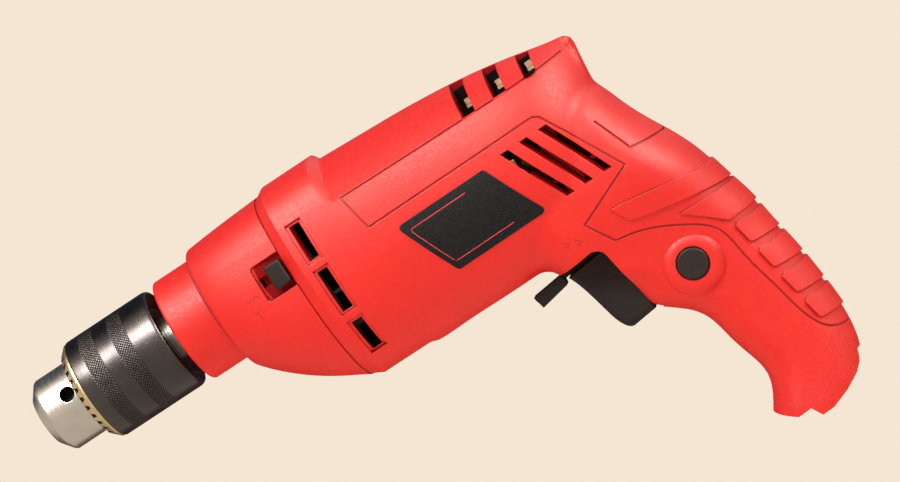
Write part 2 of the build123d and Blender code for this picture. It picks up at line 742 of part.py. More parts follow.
# Body and handle in one, with the hollow line between them rounded out
def joined_form(inset):
    body = body_loft(BODY_STATIONS, ROOF_START_X, BODY_REAR_X, BODY_CUTS, inset)
    handle = handle_loft(HANDLE_TOP_Z, HANDLE_LOW_Z, HANDLE_CUTS, inset)
    with BuildPart() as form:
        add(body)
        add(handle)
        fillet(new_edges(body, handle, combined=form.part), radius=BLEND_R)
    return form.part


def side_prism(points, depth):
    with BuildPart() as prism:
        with BuildSketch(Plane.XZ):
            with BuildLine():
                Polyline(*points, close=True)
            make_face()
        extrude(amount=depth, both=True)
    return prism.part


# The tilted frame of trigger, lever and switch: local X forward, local Y up, seen from the right
TILT = radians(CONTROL_TILT)
CONTROL = Plane(origin=(CONTROL_X, 0, CONTROL_Z), x_dir=(cos(TILT), 0, -sin(TILT)), z_dir=(0, -1, 0))


def control_block(x0, x1, z0, z1, y0, y1):
    with BuildPart() as block:
        with BuildSketch(CONTROL.offset(-y1)):
            with Locations(((x0 + x1) / 2, (z0 + z1) / 2)):
                Rectangle(abs(x1 - x0), abs(z1 - z0))
        extrude(amount=y1 - y0)
    return block.part


def control_deck(x, z):
    ahead = (cos(TILT), 0, -sin(TILT))
    up = (sin(TILT), 0, cos(TILT))
    spot = Vector(CONTROL_X, 0, CONTROL_Z) + Vector(*ahead) * x + Vector(*up) * z
    return Plane(origin=spot, x_dir=ahead, z_dir=up)


# Raised forms on the handle: a leaf and a crest that start on the side, and pads that wrap round the rear
LEAF_EDGE = (
    (-163.1, -48.4), (-167.5, -48.6), (-183.7, -51.2), (-236.0, -61.0), (-236.0, -69.0),
    (-186.9, -59.9), (-170.9, -56.9), (-166.5, -55.4),
)
CREST_EDGE = ((-183.0, -63.8), (-190.0, -69.4), (-196.9, -76.0), (-236.0, -75.6), (-236.0, -66.0))
PAD_PITCH = 12.6
PAD_TOP_Z = -78.5
PAD_HEIGHT = 8.9
PAD_COUNT = 4
PAD_EDGE_X = -197.6
PAD_LEAN = 1.95
with BuildPart() as grip_pads:
    add(side_prism(LEAF_EDGE, SIDE_REACH))
    add(side_prism(CREST_EDGE, SIDE_REACH))
    for k in range(PAD_COUNT):
        top = PAD_TOP_Z - k * PAD_PITCH
        low = top - PAD_HEIGHT
        edge = PAD_EDGE_X - PAD_LEAN * k
        add(side_prism(
            (
                (edge - 1.2, top + 0.1), (edge, top - 0.9), (edge - 1.3, low + 0.9), (edge - 2.3, low),
                (edge - 40, low - 5.0), (edge - 40, top - 2.6),
            ),
            SIDE_REACH,
        ))
    add(handle_loft(HANDLE_TOP_Z, HANDLE_LOW_Z, HANDLE_CUTS, -GRIP_RISE), mode=Mode.INTERSECT)

# Outer form of the housing: front band, roofed body, handle, button boss and shaped handle end
with BuildPart() as outer_form:
    add(plain_loft(LIP_STATION, BAND_FRONT, 0))
    add(plain_loft(BAND_FRONT, BAND_REAR, 0))
    add(plain_loft(BAND_REAR, BODY_STATIONS[0], 0))
    add(joined_form(0))
    add(grip_pads.part)
    with BuildSketch(Plane.XZ):
        with BuildLine():
            Polyline(
                (-160, -139), (-169.6, -146.2), (-177.8, -151.6), (-183.5, -151.2), (-186.0, -155.6),
                (-191.0, -155.4), (-198.4, -153.0), (-204.4, -150.2), (-207.4, -147.6),
                (-209.0, -143.2), (-240, -143.2), (-240, -180), (-150, -180), (-150, -139),
                close=True,
            )
        make_face()
    extrude(amount=60, both=True, mode=Mode.SUBTRACT)

# Hollow of the housing, less the ribs, bosses and front walls that stay
MOTOR_Z = -MOTOR_DROP
SCREW_SPOTS = (
    (-66.0, 20.5), (-72.0, -50.0), (-127.0, -49.5), (-126.5, 14.5), (-171.5, 3.0),
    (-191.5, -47.0), (-175.5, -103.5), (-191.0, -139.0),
)
WIDE_ROOM_HALF = 15.0
WIDE_ROOM = (
    (-146, -30), (-185, -30), (-191, -60), (-192, -97), (-178, -97), (-166, -88), (-152, -66),
)
NARROW_ROOM = (
    (-146, -28), (-185, -28), (-199, -56), (-205, -88), (-208, -124), (-204, -146),
    (-182, -146), (-178.5, -112), (-173, -101.5), (-161.5, -91.5), (-146, -90), (-146, -62),
)
with BuildPart() as hollow:
    for x0, x1, radius in (
        (CASE_REAR_X, MOUTH_END_X, MOUTH_ROOM_R),
        (MOUTH_END_X, MOTOR_ROOM_END_X, MOTOR_ROOM_R),
    ):
        with BuildSketch(Plane.YZ.offset(x1)):
            with Locations((0, MOTOR_ROOM_Z)):
                Circle(radius)
        extrude(amount=x0 - x1)
    with BuildSketch(Plane.YZ.offset(REAR_ROOM_END_X)):
        with Locations((0, REAR_ROOM_Z)):
            Circle(REAR_ROOM_R)
    extrude(amount=MOTOR_ROOM_END_X - REAR_ROOM_END_X)
    for x0, x1, top in (
        (CASE_REAR_X, BAND_END_X, BODY_TOP - 6),
        (BAND_END_X, MOTOR_ROOM_END_X, BODY_TOP - 10.5),
    ):
        with BuildSketch(Plane.YZ.offset(x1)):
            with BuildLine():
                Polyline(
                    (-21, MOTOR_ROOM_Z), (-21, top - 9.5), (-9, top), (9, top), (21, top - 9.5),
                    (21, MOTOR_ROOM_Z), close=True,
                )
            make_face()
        extrude(amount=x0 - x1)
    add(side_prism(WIDE_ROOM, WIDE_ROOM_HALF))
    add(side_prism(NARROW_ROOM, SWITCH_HALF + MOVE_GAP))
    for x in (CORE_FRONT_X - 5, CORE_FRONT_X - CORE_LEN + 5):
        with BuildSketch(Plane.YZ.offset(x - 1.5)):
            with Locations((0, MOTOR_Z)):
                Rectangle(200, 200)
                Circle(STATOR_R + SEAT_GAP, mode=Mode.SUBTRACT)
        extrude(amount=3.0, mode=Mode.SUBTRACT)
    with BuildSketch(Plane.YZ.offset(REAR_BEARING_X - REAR_BEARING_LEN - CAP_WALL)):
        with Locations((0, MOTOR_Z)):
            Rectangle(200, 62)
            Circle(REAR_BEARING_R + CAP_WALL + SEAT_GAP, mode=Mode.SUBTRACT)
    extrude(amount=REAR_BEARING_LEN + CAP_WALL, mode=Mode.SUBTRACT)
    for y0, y1 in ((TRIGGER_HALF + MOVE_GAP, 40), (-40, -TRIGGER_HALF - MOVE_GAP)):
        add(control_block(-6.0, 12.0, TRIGGER_LOW - 4, 3.6, y0, y1), mode=Mode.SUBTRACT)
    for y0, y1 in ((SWITCH_HALF + SEAT_GAP, 40), (-40, -SWITCH_HALF - SEAT_GAP)):
        add(control_block(-36.0, -34.0, SWITCH_LOW, SWITCH_TOP, y0, y1), mode=Mode.SUBTRACT)
    with BuildSketch(Plane.XZ):
        with Locations(*SCREW_SPOTS):
            Circle(BOSS_R)
    extrude(amount=60, both=True, mode=Mode.SUBTRACT)

# Openings: exhaust vents beside the fan, slanted intake vents, roof vents, trigger mouth, cord inlet
VENT_X = -62.2
VENT_W = 4.4
VENT_SPANS = ((-3.2, 11.5), (-25.4, -8.0), (-43.4, -30.5))
SLOT_W = 3.45
SLOT_PITCH = 8.2
SLOT_TOP = (-142.5, -8.8)
SLOT_LOW = (-154.2, -35.3)
ROOF_SLOTS = ((-138.8, 5.6), (-152.2, 5.4), (-165.2, 5.0))
with BuildPart() as openings:
    for low, top in VENT_SPANS:
        for y0, y1 in ((14, 44), (-44, -14)):
            with BuildSketch(Plane.XZ.offset(-y1)):
                with Locations((VENT_X, (low + top) / 2)):
                    Rectangle(VENT_W, top - low)
            extrude(amount=y1 - y0)
    for k in range(3):
        shift = -SLOT_PITCH * k
        for y0, y1 in ((12, 44), (-44, -12)):
            with BuildSketch(Plane.XZ.offset(-y1)):
                with BuildLine():
                    Polyline(
                        (SLOT_TOP[0] + SLOT_W / 2 + shift, SLOT_TOP[1]),
                        (SLOT_TOP[0] - SLOT_W / 2 + shift, SLOT_TOP[1]),
                        (SLOT_LOW[0] - SLOT_W / 2 + shift, SLOT_LOW[1]),
                        (SLOT_LOW[0] + SLOT_W / 2 + shift, SLOT_LOW[1]),
                        close=True,
                    )
                make_face()
            extrude(amount=y1 - y0)
    for x, width in ROOF_SLOTS:
        for side in (1, -1):
            with BuildSketch(Plane.XY.offset(9.6)):
                with Locations((x, side * 15.5)):
                    Rectangle(width, 25)
            extrude(amount=30)
    add(control_block(-2.0, 60.0, TRIGGER_LOW - MOVE_GAP, 3.5, -50, 50))
    with BuildSketch(Plane.XY.offset(-140)):
        with Locations((-193.5, 0)):
            Circle(CORD_R)
    extrude(amount=-30)

# Panel lines: fine grooves round the side panel, behind it and along the grip
GROOVE_W = 0.7
PANEL_LINE = (
    (-178.0, 10.0), (-167.0, 9.4), (-149.0, 9.3), (-118.0, 9.6), (-82.4, 10.1), (-85.6, -4.4),
    (-157.6, -3.8), (-160.0, -5.2), (-176.7, -37.2), (-151.8, -47.8), (-158.2, -59.1),
)
GRIP_LINE = (
    (-158.2, -59.1), (-168.1, -61.1), (-181.7, -67.7), (-191.4, -76.0), (-194.4, -90.0),
    (-197.7, -106.1), (-201.0, -121.0), (-204.7, -128.4), (-215.0, -132.4),
)
BACK_LINE = ((-175.8, -18.2), (-181.6, -33.2), (-194.0, -35.2))
with BuildPart() as grooves:
    with BuildSketch(Plane.XZ):
        with BuildLine():
            Polyline(*PANEL_LINE)
            Polyline(*BACK_LINE)
            Spline(*GRIP_LINE)
        trace(line_width=GROOVE_W)
        with Locations(*PANEL_LINE, *BACK_LINE):
            Circle(GROOVE_W / 2)
    extrude(amount=SIDE_REACH, both=True)
    add(joined_form(PANEL_STEP), mode=Mode.SUBTRACT)

# Shallow pockets round the exhaust vents
with BuildPart() as side_relief:
    for low, top in VENT_SPANS:
        add(side_prism((
            (VENT_X + 3.4, top + 1.2), (VENT_X + 3.4, low - 1.2),
            (VENT_X - 3.4, low - 1.2), (VENT_X - 3.4, top + 1.2),
        ), SIDE_REACH))
    add(plain_loft(BAND_FRONT, BAND_REAR, POCKET), mode=Mode.SUBTRACT)

with BuildPart() as housing_whole:
    add(outer_form.part)
    add(grooves.part, mode=Mode.SUBTRACT)
    add(side_relief.part, mode=Mode.SUBTRACT)
    add(hollow.part, mode=Mode.SUBTRACT)
    add(openings.part, mode=Mode.SUBTRACT)

with BuildPart() as housing_left:
    add(housing_whole.part)
    split(bisect_by=Plane.XZ.offset(-SEAM / 2), keep=Keep.BOTTOM)
    with BuildSketch(Plane(origin=(BUTTON_X, 0, BUTTON_Z), x_dir=(1, 0, 0), z_dir=(0, 0, 1))):
        with BuildLine():
            TangentArc((BUTTON_R + DOME_RIM, BOSS_FACE_Y), (DOME_R, DOME_ROOT_Y), tangent=(1, 0))
            Polyline(
                (DOME_R, DOME_ROOT_Y), (0, DOME_ROOT_Y), (0, BOSS_FACE_Y), (BUTTON_R + DOME_RIM, BOSS_FACE_Y),
            )
        make_face()
    revolve(axis=Axis((BUTTON_X, 0, BUTTON_Z), (0, 1, 0)))
    with BuildSketch(Plane.XZ.offset(-50)):
        with Locations((BUTTON_X, BUTTON_Z)):
            Circle(BUTTON_R + MOVE_GAP)
    extrude(amount=40, mode=Mode.SUBTRACT)
    with BuildSketch(Plane.XZ):
        with Locations(*SCREW_SPOTS):
            Circle(SCREW_R)
    extrude(amount=-14.0, mode=Mode.SUBTRACT)
housing_left.part.label = "housing_left"

SCREW_SEAT_Y = -6.0
with BuildPart() as housing_right:
    add(housing_whole.part)
    split(bisect_by=Plane.XZ.offset(SEAM / 2), keep=Keep.TOP)
    with BuildSketch(Plane.XZ):
        with Locations(*SCREW_SPOTS):
            Circle(SCREW_R + MOVE_GAP)
    extrude(amount=50, mode=Mode.SUBTRACT)
    with BuildSketch(Plane.XZ.offset(-SCREW_SEAT_Y)):
        with Locations(*SCREW_SPOTS):
            Circle(SCREW_HEAD_R + MOVE_GAP)
    extrude(amount=50, mode=Mode.SUBTRACT)
housing_right.part.label = "housing_right"

with BuildPart() as housing_screws:
    with BuildSketch(Plane.XZ.offset(-SCREW_SEAT_Y)):
        with Locations(*SCREW_SPOTS):
            Circle(SCREW_HEAD_R)
    extrude(amount=SCREW_HEAD)
    with BuildSketch(Plane.XZ.offset(-SCREW_SEAT_Y)):
        with Locations(*SCREW_SPOTS):
            Circle(SCREW_R)
    extrude(amount=-SCREW_LEN)
    with BuildSketch(Plane.XZ.offset(-SCREW_SEAT_Y + SCREW_HEAD)):
        with Locations(*SCREW_SPOTS):
            Rectangle(3.6, 0.8)
            Rectangle(0.8, 3.6)
    extrude(amount=-1.3, mode=Mode.SUBTRACT)
housing_screws.part.label = "housing_screws"

# Label plate: a thin curved sheet lying on the left side
LABEL_CORNERS = ((-94.2, -10.2), (-132.7, -9.8), (-143.7, -35.6), (-104.4, -36.0))
with BuildPart() as label_plate:
    with BuildSketch(Plane.XZ) as label_form:
        with BuildLine():
            Polyline(*LABEL_CORNERS, close=True)
        make_face()
        fillet(label_form.vertices(), LABEL_ROUND)
    extrude(amount=-60)
    add(
        body_loft(BODY_STATIONS, ROOF_START_X, BODY_REAR_X, BODY_CUTS, -LABEL_THICK),
        mode=Mode.INTERSECT,
    )
    add(joined_form(0), mode=Mode.SUBTRACT)
label_plate.part.label = "label_plate"

PLATE_SCREW_SPOTS = (
    (PLATE_SCREW_TOP_Y, PLATE_SCREW_TOP_Z), (-PLATE_SCREW_TOP_Y, PLATE_SCREW_TOP_Z),
    (PLATE_SCREW_LOW_Y, PLATE_SCREW_LOW_Z), (-PLATE_SCREW_LOW_Y, PLATE_SCREW_LOW_Z),
)
RETAINER_X = BEARING_BACK_X - THRUST_TRAVEL - MOVE_GAP - 1.2
SLIDER_FRONT_X = PLATE_FRONT_X + MOVE_GAP + SLIDER_LEN

# Gear case: a shaped front casing with the clamping collar
CASE_FRONT_X = CASE_STATIONS[0][0]
KNOB_FRONT_X = KNOB_REAR_X + KNOB_LEN
KNOB_MID_Z = -0.4
RECESS_FRONT_X = KNOB_FRONT_X + MODE_TRAVEL + MOVE_GAP
STEM_REAR_X = PLATE_FRONT_X + MOVE_GAP
STEM_THICK = 1.8
CASE_ROOM_FRONT_X = GEAR_FRONT_X + 6.5
with BuildPart() as gear_case:
    add(body_loft(CASE_STATIONS, CASE_FRONT_X, CASE_REAR_X + SEAM, 6, 0))
    fillet(gear_case.faces().sort_by(Axis.X)[-1].edges(), CASE_ROUND)
    with BuildSketch(Plane.YZ.offset(CASE_FRONT_X - 4)):
        Circle(COLLAR_R)
    extrude(amount=-CASE_FRONT_X + 4)
    fillet(gear_case.faces().sort_by(Axis.X)[-1].edges(), COLLAR_ROUND)
    with BuildSketch(Plane.YZ.offset(CASE_REAR_X)):
        with Locations((0, MOTOR_ROOM_Z)):
            Circle(PLATE_R + SEAT_GAP)
        Circle(PLATE_TOP_R + SEAT_GAP)
    extrude(amount=PLATE_FRONT_X - CASE_REAR_X, mode=Mode.SUBTRACT)
    with BuildSketch(Plane.YZ.offset(PLATE_FRONT_X)):
        Circle(GEAR_ROOM_R)
        with Locations((0, MOTOR_Z)):
            Circle(PINION_ROOM_R)
    extrude(amount=CASE_ROOM_FRONT_X - PLATE_FRONT_X, mode=Mode.SUBTRACT)
    with BuildSketch(Plane.YZ.offset(CASE_ROOM_FRONT_X - 1)):
        Circle(BEARING_R + RUN_FIT)
    extrude(amount=BEARING_FRONT_X - CASE_ROOM_FRONT_X + 1, mode=Mode.SUBTRACT)
    with BuildSketch(Plane.YZ.offset(RETAINER_X - MOVE_GAP / 2)):
        Circle(BEARING_R + 1.0 + SEAT_GAP)
    extrude(amount=1.2 + MOVE_GAP, mode=Mode.SUBTRACT)
    with BuildSketch(Plane.YZ.offset(BEARING_FRONT_X - 1)):
        Circle(BEARING_R - 2.2)
    extrude(amount=10, mode=Mode.SUBTRACT)
    with BuildSketch(Plane.YZ.offset(PLATE_FRONT_X)):
        with Locations(*PLATE_SCREW_SPOTS):
            Circle(PLATE_SCREW_R)
    extrude(amount=PLATE_SCREW_LEN - 4, mode=Mode.SUBTRACT)
    with BuildSketch(Plane.XZ.offset(-50)):
        with Locations(((RECESS_FRONT_X + CASE_REAR_X) / 2, KNOB_MID_Z)):
            RectangleRounded(RECESS_FRONT_X - CASE_REAR_X + 2.0, KNOB_HEIGHT + 4.6, 1.6)
    extrude(amount=50 - RECESS_FLOOR_Y, mode=Mode.SUBTRACT)
    with BuildSketch(Plane.XZ.offset(-RECESS_FLOOR_Y - 1)):
        with Locations(((STEM_REAR_X + STEM_THICK + MODE_TRAVEL + STEM_REAR_X) / 2, KNOB_MID_Z)):
            Rectangle(STEM_THICK + MODE_TRAVEL + 2 * MOVE_GAP, KNOB_HEIGHT * 0.4)
    extrude(amount=RECESS_FLOOR_Y - 14, mode=Mode.SUBTRACT)
    with BuildSketch(Plane.XZ.offset(-SLIDER_OUT_Y - MOVE_GAP)):
        with Locations(((SLIDER_FRONT_X + MODE_TRAVEL + STEM_REAR_X) / 2, KNOB_MID_Z)):
            Rectangle(SLIDER_LEN + MODE_TRAVEL + 2 * MOVE_GAP, SLIDER_HEIGHT + 2 * MOVE_GAP)
    extrude(amount=SLIDER_OUT_Y + MOVE_GAP - 13, mode=Mode.SUBTRACT)
gear_case.part.label = "gear_case"

# Gear plate: closes the gear case and carries the spindle bush, the motor bearing and the fixed ratchet
with BuildPart() as gear_plate:
    with BuildSketch(Plane.YZ.offset(CASE_REAR_X)):
        with Locations((0, MOTOR_ROOM_Z)):
            Circle(PLATE_R)
        Circle(PLATE_TOP_R)
    extrude(amount=PLATE_FRONT_X - CASE_REAR_X)
    with BuildSketch(Plane.YZ.offset(CASE_REAR_X)):
        with Locations((0, MOTOR_ROOM_Z)):
            Circle(MOUTH_ROOM_R - SEAT_GAP)
    extrude(amount=-PLATE_FLANGE)
    with BuildSketch(Plane.YZ.offset(CASE_REAR_X)):
        Circle(SPINDLE_BOSS_R)
        with Locations((0, MOTOR_Z)):
            Circle(PLATE_BOSS_R)
    extrude(amount=-4.0)
    with BuildSketch(Plane.YZ.offset(PLATE_FRONT_X)):
        Circle(BUSH_R)
    extrude(amount=CASE_REAR_X - PLATE_FRONT_X - 2.0, mode=Mode.SUBTRACT)
    with BuildSketch(Plane.YZ.offset(CASE_REAR_X - 4.0)):
        with Locations((0, MOTOR_Z)):
            Circle(MOTOR_BEARING_R)
    extrude(amount=MOTOR_BEARING_X - CASE_REAR_X + 4.0, mode=Mode.SUBTRACT)
    with BuildSketch(Plane.YZ.offset(MOTOR_BEARING_X - 1)):
        with Locations((0, MOTOR_Z)):
            Circle(MOTOR_BEARING_R - 3)
    extrude(amount=10, mode=Mode.SUBTRACT)
    with BuildSketch(Plane.YZ.offset(CASE_REAR_X - PLATE_FLANGE)):
        with Locations(*PLATE_SCREW_SPOTS):
            Circle(PLATE_SCREW_HEAD_R + SEAT_GAP)
    extrude(amount=PLATE_FLANGE, mode=Mode.SUBTRACT)
    with BuildSketch(Plane.YZ.offset(CASE_REAR_X)):
        with Locations(*PLATE_SCREW_SPOTS):
            Circle(PLATE_SCREW_R + SEAT_GAP)
    extrude(amount=10, mode=Mode.SUBTRACT)
gear_plate.part.label = "gear_plate"

with BuildPart() as plate_screws:
    with BuildSketch(Plane.YZ.offset(CASE_REAR_X)):
        with Locations(*PLATE_SCREW_SPOTS):
            Circle(PLATE_SCREW_R)
    extrude(amount=PLATE_SCREW_LEN)
    with BuildSketch(Plane.YZ.offset(CASE_REAR_X)):
        with Locations(*PLATE_SCREW_SPOTS):
            Circle(PLATE_SCREW_HEAD_R)
    extrude(amount=-2.6)
plate_screws.part.label = "plate_screws"

# Mode selector: an outer knob on a stem, and an inner slider with a stop finger behind the gear
with BuildPart() as mode_knob:
    with BuildSketch(Plane.XZ.offset(-RECESS_FLOOR_Y - MOVE_GAP)):
        with Locations(((KNOB_REAR_X + KNOB_FRONT_X) / 2, KNOB_MID_Z)):
            RectangleRounded(KNOB_LEN, KNOB_HEIGHT, 1.0)
    extrude(amount=-(KNOB_FACE_Y - RECESS_FLOOR_Y - MOVE_GAP))
    chamfer(mode_knob.faces().sort_by(Axis.Y)[-1].edges(), 0.6)
    with BuildSketch(Plane.XZ.offset(-SLIDER_OUT_Y)):
        with Locations((STEM_REAR_X + STEM_THICK / 2, KNOB_MID_Z)):
            Rectangle(STEM_THICK, KNOB_HEIGHT * 0.3)
    extrude(amount=-(RECESS_FLOOR_Y + MOVE_GAP - SLIDER_OUT_Y))
mode_knob.part.label = "mode_knob"

with BuildPart() as mode_slider:
    with BuildSketch(Plane.XZ.offset(-SLIDER_OUT_Y)):
        with Locations(((SLIDER_FRONT_X + STEM_REAR_X) / 2, KNOB_MID_Z)):
            Rectangle(SLIDER_LEN, SLIDER_HEIGHT)
    extrude(amount=2.4)
    with BuildSketch(Plane.XZ.offset(-SLIDER_OUT_Y)):
        with Locations((STEM_REAR_X + 0.8, KNOB_MID_Z)):
            Rectangle(1.6, 5.0)
    extrude(amount=SLIDER_OUT_Y - RATCHET_R - 1.0)
mode_slider.part.label = "mode_slider"

# Motor
CORE_REAR_X = CORE_FRONT_X - CORE_LEN
SHAFT_END_X = REAR_BEARING_X - REAR_BEARING_LEN - 0.5
PINION_FRONT_X = GEAR_FRONT_X + 2.0


def motor_ring(x, length, outer, inner):
    with BuildPart() as ring:
        with BuildSketch(Plane.YZ.offset(x)):
            with Locations((0, MOTOR_Z)):
                Circle(outer)
                Circle(inner, mode=Mode.SUBTRACT)
        extrude(amount=-length)
    return ring.part


with BuildPart() as armature_shaft:
    pinion_place = Plane(origin=(PINION_FRONT_X, 0, MOTOR_Z), x_dir=(0, 1, 0), z_dir=(1, 0, 0))
    add(spur_sketch(PINION_TEETH, TOOTH_SHIFT, pi / 2 + pi / PINION_TEETH, pinion_place))
    extrude(amount=PINION_LEN, dir=(-1, 0, 0))
    with BuildSketch(pinion_place.offset(-PINION_LEN)):
        Circle(SHAFT_R)
    extrude(amount=COMM_FRONT_X - COMM_LEN - PINION_FRONT_X + PINION_LEN)
    with BuildSketch(pinion_place.offset(COMM_FRONT_X - COMM_LEN - PINION_FRONT_X)):
        Circle(SHAFT_REAR_R)
    extrude(amount=SHAFT_END_X - COMM_FRONT_X + COMM_LEN)
armature_shaft.part.label = "armature_shaft"

with BuildPart() as armature_core:
    add(motor_ring(CORE_FRONT_X, CORE_LEN, CORE_R, SHAFT_R))
    with BuildSketch(Plane.YZ.offset(CORE_FRONT_X)):
        with Locations((0, MOTOR_Z)):
            with PolarLocations(CORE_R - 1.6, CORE_SLOTS):
                Rectangle(4.6, 1.8)
    extrude(amount=-CORE_LEN, mode=Mode.SUBTRACT)
armature_core.part.label = "armature_core"

with BuildPart() as armature_winding:
    for x0, x1 in ((CORE_FRONT_X, CORE_FRONT_X + END_TURN), (CORE_REAR_X, CORE_REAR_X - END_TURN)):
        with BuildSketch(Plane.XZ):
            with BuildLine():
                Polyline(
                    (x0, MOTOR_Z + SHAFT_R), (x1, MOTOR_Z + SHAFT_R), (x1, MOTOR_Z + CORE_R * 0.62),
                    ((x0 + 2 * x1) / 3, MOTOR_Z + CORE_R * 0.85), (x0, MOTOR_Z + CORE_R * 0.92), close=True,
                )
            make_face()
        revolve(axis=Axis((0, 0, MOTOR_Z), (1, 0, 0)))
armature_winding.part.label = "armature_winding"

with BuildPart() as commutator:
    add(motor_ring(COMM_FRONT_X, COMM_LEN, COMM_R, SHAFT_R))
    with BuildSketch(Plane.YZ.offset(COMM_FRONT_X)):
        with Locations((0, MOTOR_Z)):
            with PolarLocations(COMM_R, COMM_BARS):
                Rectangle(2.0, 0.5)
    extrude(amount=-COMM_LEN, mode=Mode.SUBTRACT)
commutator.part.label = "commutator"

with BuildPart() as fan:
    add(motor_ring(FAN_FRONT_X, FAN_DISC, FAN_R, SHAFT_R))
    add(motor_ring(FAN_FRONT_X - FAN_DISC, FAN_BLADE, SHAFT_R + 3.5, SHAFT_R))
    with BuildSketch(Plane.YZ.offset(FAN_FRONT_X - FAN_DISC)):
        with Locations((0, MOTOR_Z)):
            with PolarLocations((FAN_R + SHAFT_R + 3.0) / 2 + 0.4, FAN_BLADES):
                Rectangle(FAN_R - SHAFT_R - 3.6, 1.3)
    extrude(amount=-FAN_BLADE)
fan.part.label = "fan"

with BuildPart() as motor_bearing:
    add(motor_ring(MOTOR_BEARING_X, MOTOR_BEARING_LEN, MOTOR_BEARING_R, SHAFT_R + RUN_FIT))
motor_bearing.part.label = "motor_bearing"
with BuildPart() as rear_bearing:
    add(motor_ring(REAR_BEARING_X, REAR_BEARING_LEN, REAR_BEARING_R, SHAFT_REAR_R + RUN_FIT))
rear_bearing.part.label = "rear_bearing"
with BuildPart() as bearing_cap:
    add(motor_ring(REAR_BEARING_X, REAR_BEARING_LEN + CAP_WALL, REAR_BEARING_R + CAP_WALL, REAR_BEARING_R))
    with BuildSketch(Plane.YZ.offset(REAR_BEARING_X - REAR_BEARING_LEN - CAP_WALL)):
        with Locations((0, MOTOR_Z)):
            Circle(REAR_BEARING_R + 1)
    extrude(amount=CAP_WALL - 0.7)
bearing_cap.part.label = "bearing_cap"

# Stator: a yoke with two poles to the left and right, and a coil round each pole neck
POLE_R = CORE_R + AIR_GAP
SHOE_R = POLE_R + POLE_SHOE
YOKE_R = STATOR_R - YOKE


def sector(inner, outer, half_angle, x, length):
    with BuildPart() as piece:
        with BuildSketch(Plane.YZ.offset(x)):
            with Locations((0, MOTOR_Z)):
                Circle(outer)
                Circle(inner, mode=Mode.SUBTRACT)
            reach = 2 * outer
            rise = reach * tan(radians(half_angle))
            with BuildLine():
                Polyline((0, MOTOR_Z), (reach, MOTOR_Z + rise), (reach, MOTOR_Z - rise), close=True)
            make_face(mode=Mode.INTERSECT)
        extrude(amount=-length)
        mirror(about=Plane.XZ)
    return piece.part


with BuildPart() as stator_core:
    add(motor_ring(CORE_FRONT_X, CORE_LEN, STATOR_R, YOKE_R))
    add(sector(POLE_R, SHOE_R, POLE_HALF_ANGLE, CORE_FRONT_X, CORE_LEN))
    with BuildSketch(Plane.YZ.offset(CORE_FRONT_X)):
        for side in (1, -1):
            with Locations((side * (SHOE_R + YOKE_R) / 2, MOTOR_Z)):
                Rectangle(YOKE_R - SHOE_R + 6.0, 2 * POLE_NECK)
    extrude(amount=-CORE_LEN)
    add(motor_ring(CORE_FRONT_X, CORE_LEN, POLE_R, 0.01), mode=Mode.SUBTRACT)
stator_core.part.label = "stator_core"

with BuildPart() as field_coils:
    coil_len = CORE_LEN + 2 * END_TURN
    add(sector(SHOE_R + 0.2, YOKE_R - 0.2, POLE_HALF_ANGLE - 1, CORE_FRONT_X + END_TURN, coil_len))
    with BuildSketch(Plane.YZ.offset(CORE_FRONT_X + 1.0)):
        with Locations((0, MOTOR_Z)):
            Rectangle(2 * STATOR_R, 2 * POLE_NECK + 0.6)
    extrude(amount=-CORE_LEN - 2.0, mode=Mode.SUBTRACT)
field_coils.part.label = "field_coils"

# Brush gear: brass holders to the left and right of the commutator
BRUSH_X = COMM_FRONT_X - COMM_LEN / 2
HOLDER_W = BRUSH_W + 2 * HOLDER_WALL + 2 * SEAM
HOLDER_H = BRUSH_H + 2 * HOLDER_WALL + 2 * SEAM
HOLDER_CORNER = HOLDER_H / 2 + MOTOR_Z - MOTOR_ROOM_Z
HOLDER_END_Y = sqrt(MOTOR_ROOM_R**2 - HOLDER_CORNER**2) - SEAT_GAP


def brush_box(y0, y1, width, height):
    with BuildPart() as box:
        for side in (1, -1):
            with BuildSketch(Plane.XZ):
                with Locations((BRUSH_X, MOTOR_Z)):
                    Rectangle(width, height)
            extrude(amount=-side * y1)
        with BuildSketch(Plane.XZ):
            with Locations((BRUSH_X, MOTOR_Z)):
                Rectangle(width + 2, height + 2)
        extrude(amount=y0, both=True, mode=Mode.SUBTRACT)
    return box.part


with BuildPart() as brush_holders:
    add(brush_box(COMM_R + 1.5, HOLDER_END_Y, HOLDER_W, HOLDER_H))
    add(
        brush_box(COMM_R + 1.0, HOLDER_END_Y - HOLDER_WALL, BRUSH_W + 2 * SEAM, BRUSH_H + 2 * SEAM),
        mode=Mode.SUBTRACT,
    )
brush_holders.part.label = "brush_holders"
with BuildPart() as carbon_brushes:
    add(brush_box(COMM_R + MOVE_GAP, COMM_R + MOVE_GAP + BRUSH_LEN, BRUSH_W, BRUSH_H))
carbon_brushes.part.label = "carbon_brushes"

# Suppression capacitor under the roof, standing against the end wall of the motor room
with BuildPart() as capacitor:
    with BuildSketch(Plane.XY.offset(CAPACITOR_Z)):
        with Locations((MOTOR_ROOM_END_X + SEAT_GAP + CAPACITOR_LEN / 2, 0)):
            RectangleRounded(CAPACITOR_LEN, CAPACITOR_W, 1.5)
    extrude(amount=CAPACITOR_H)
capacitor.part.label = "capacitor"

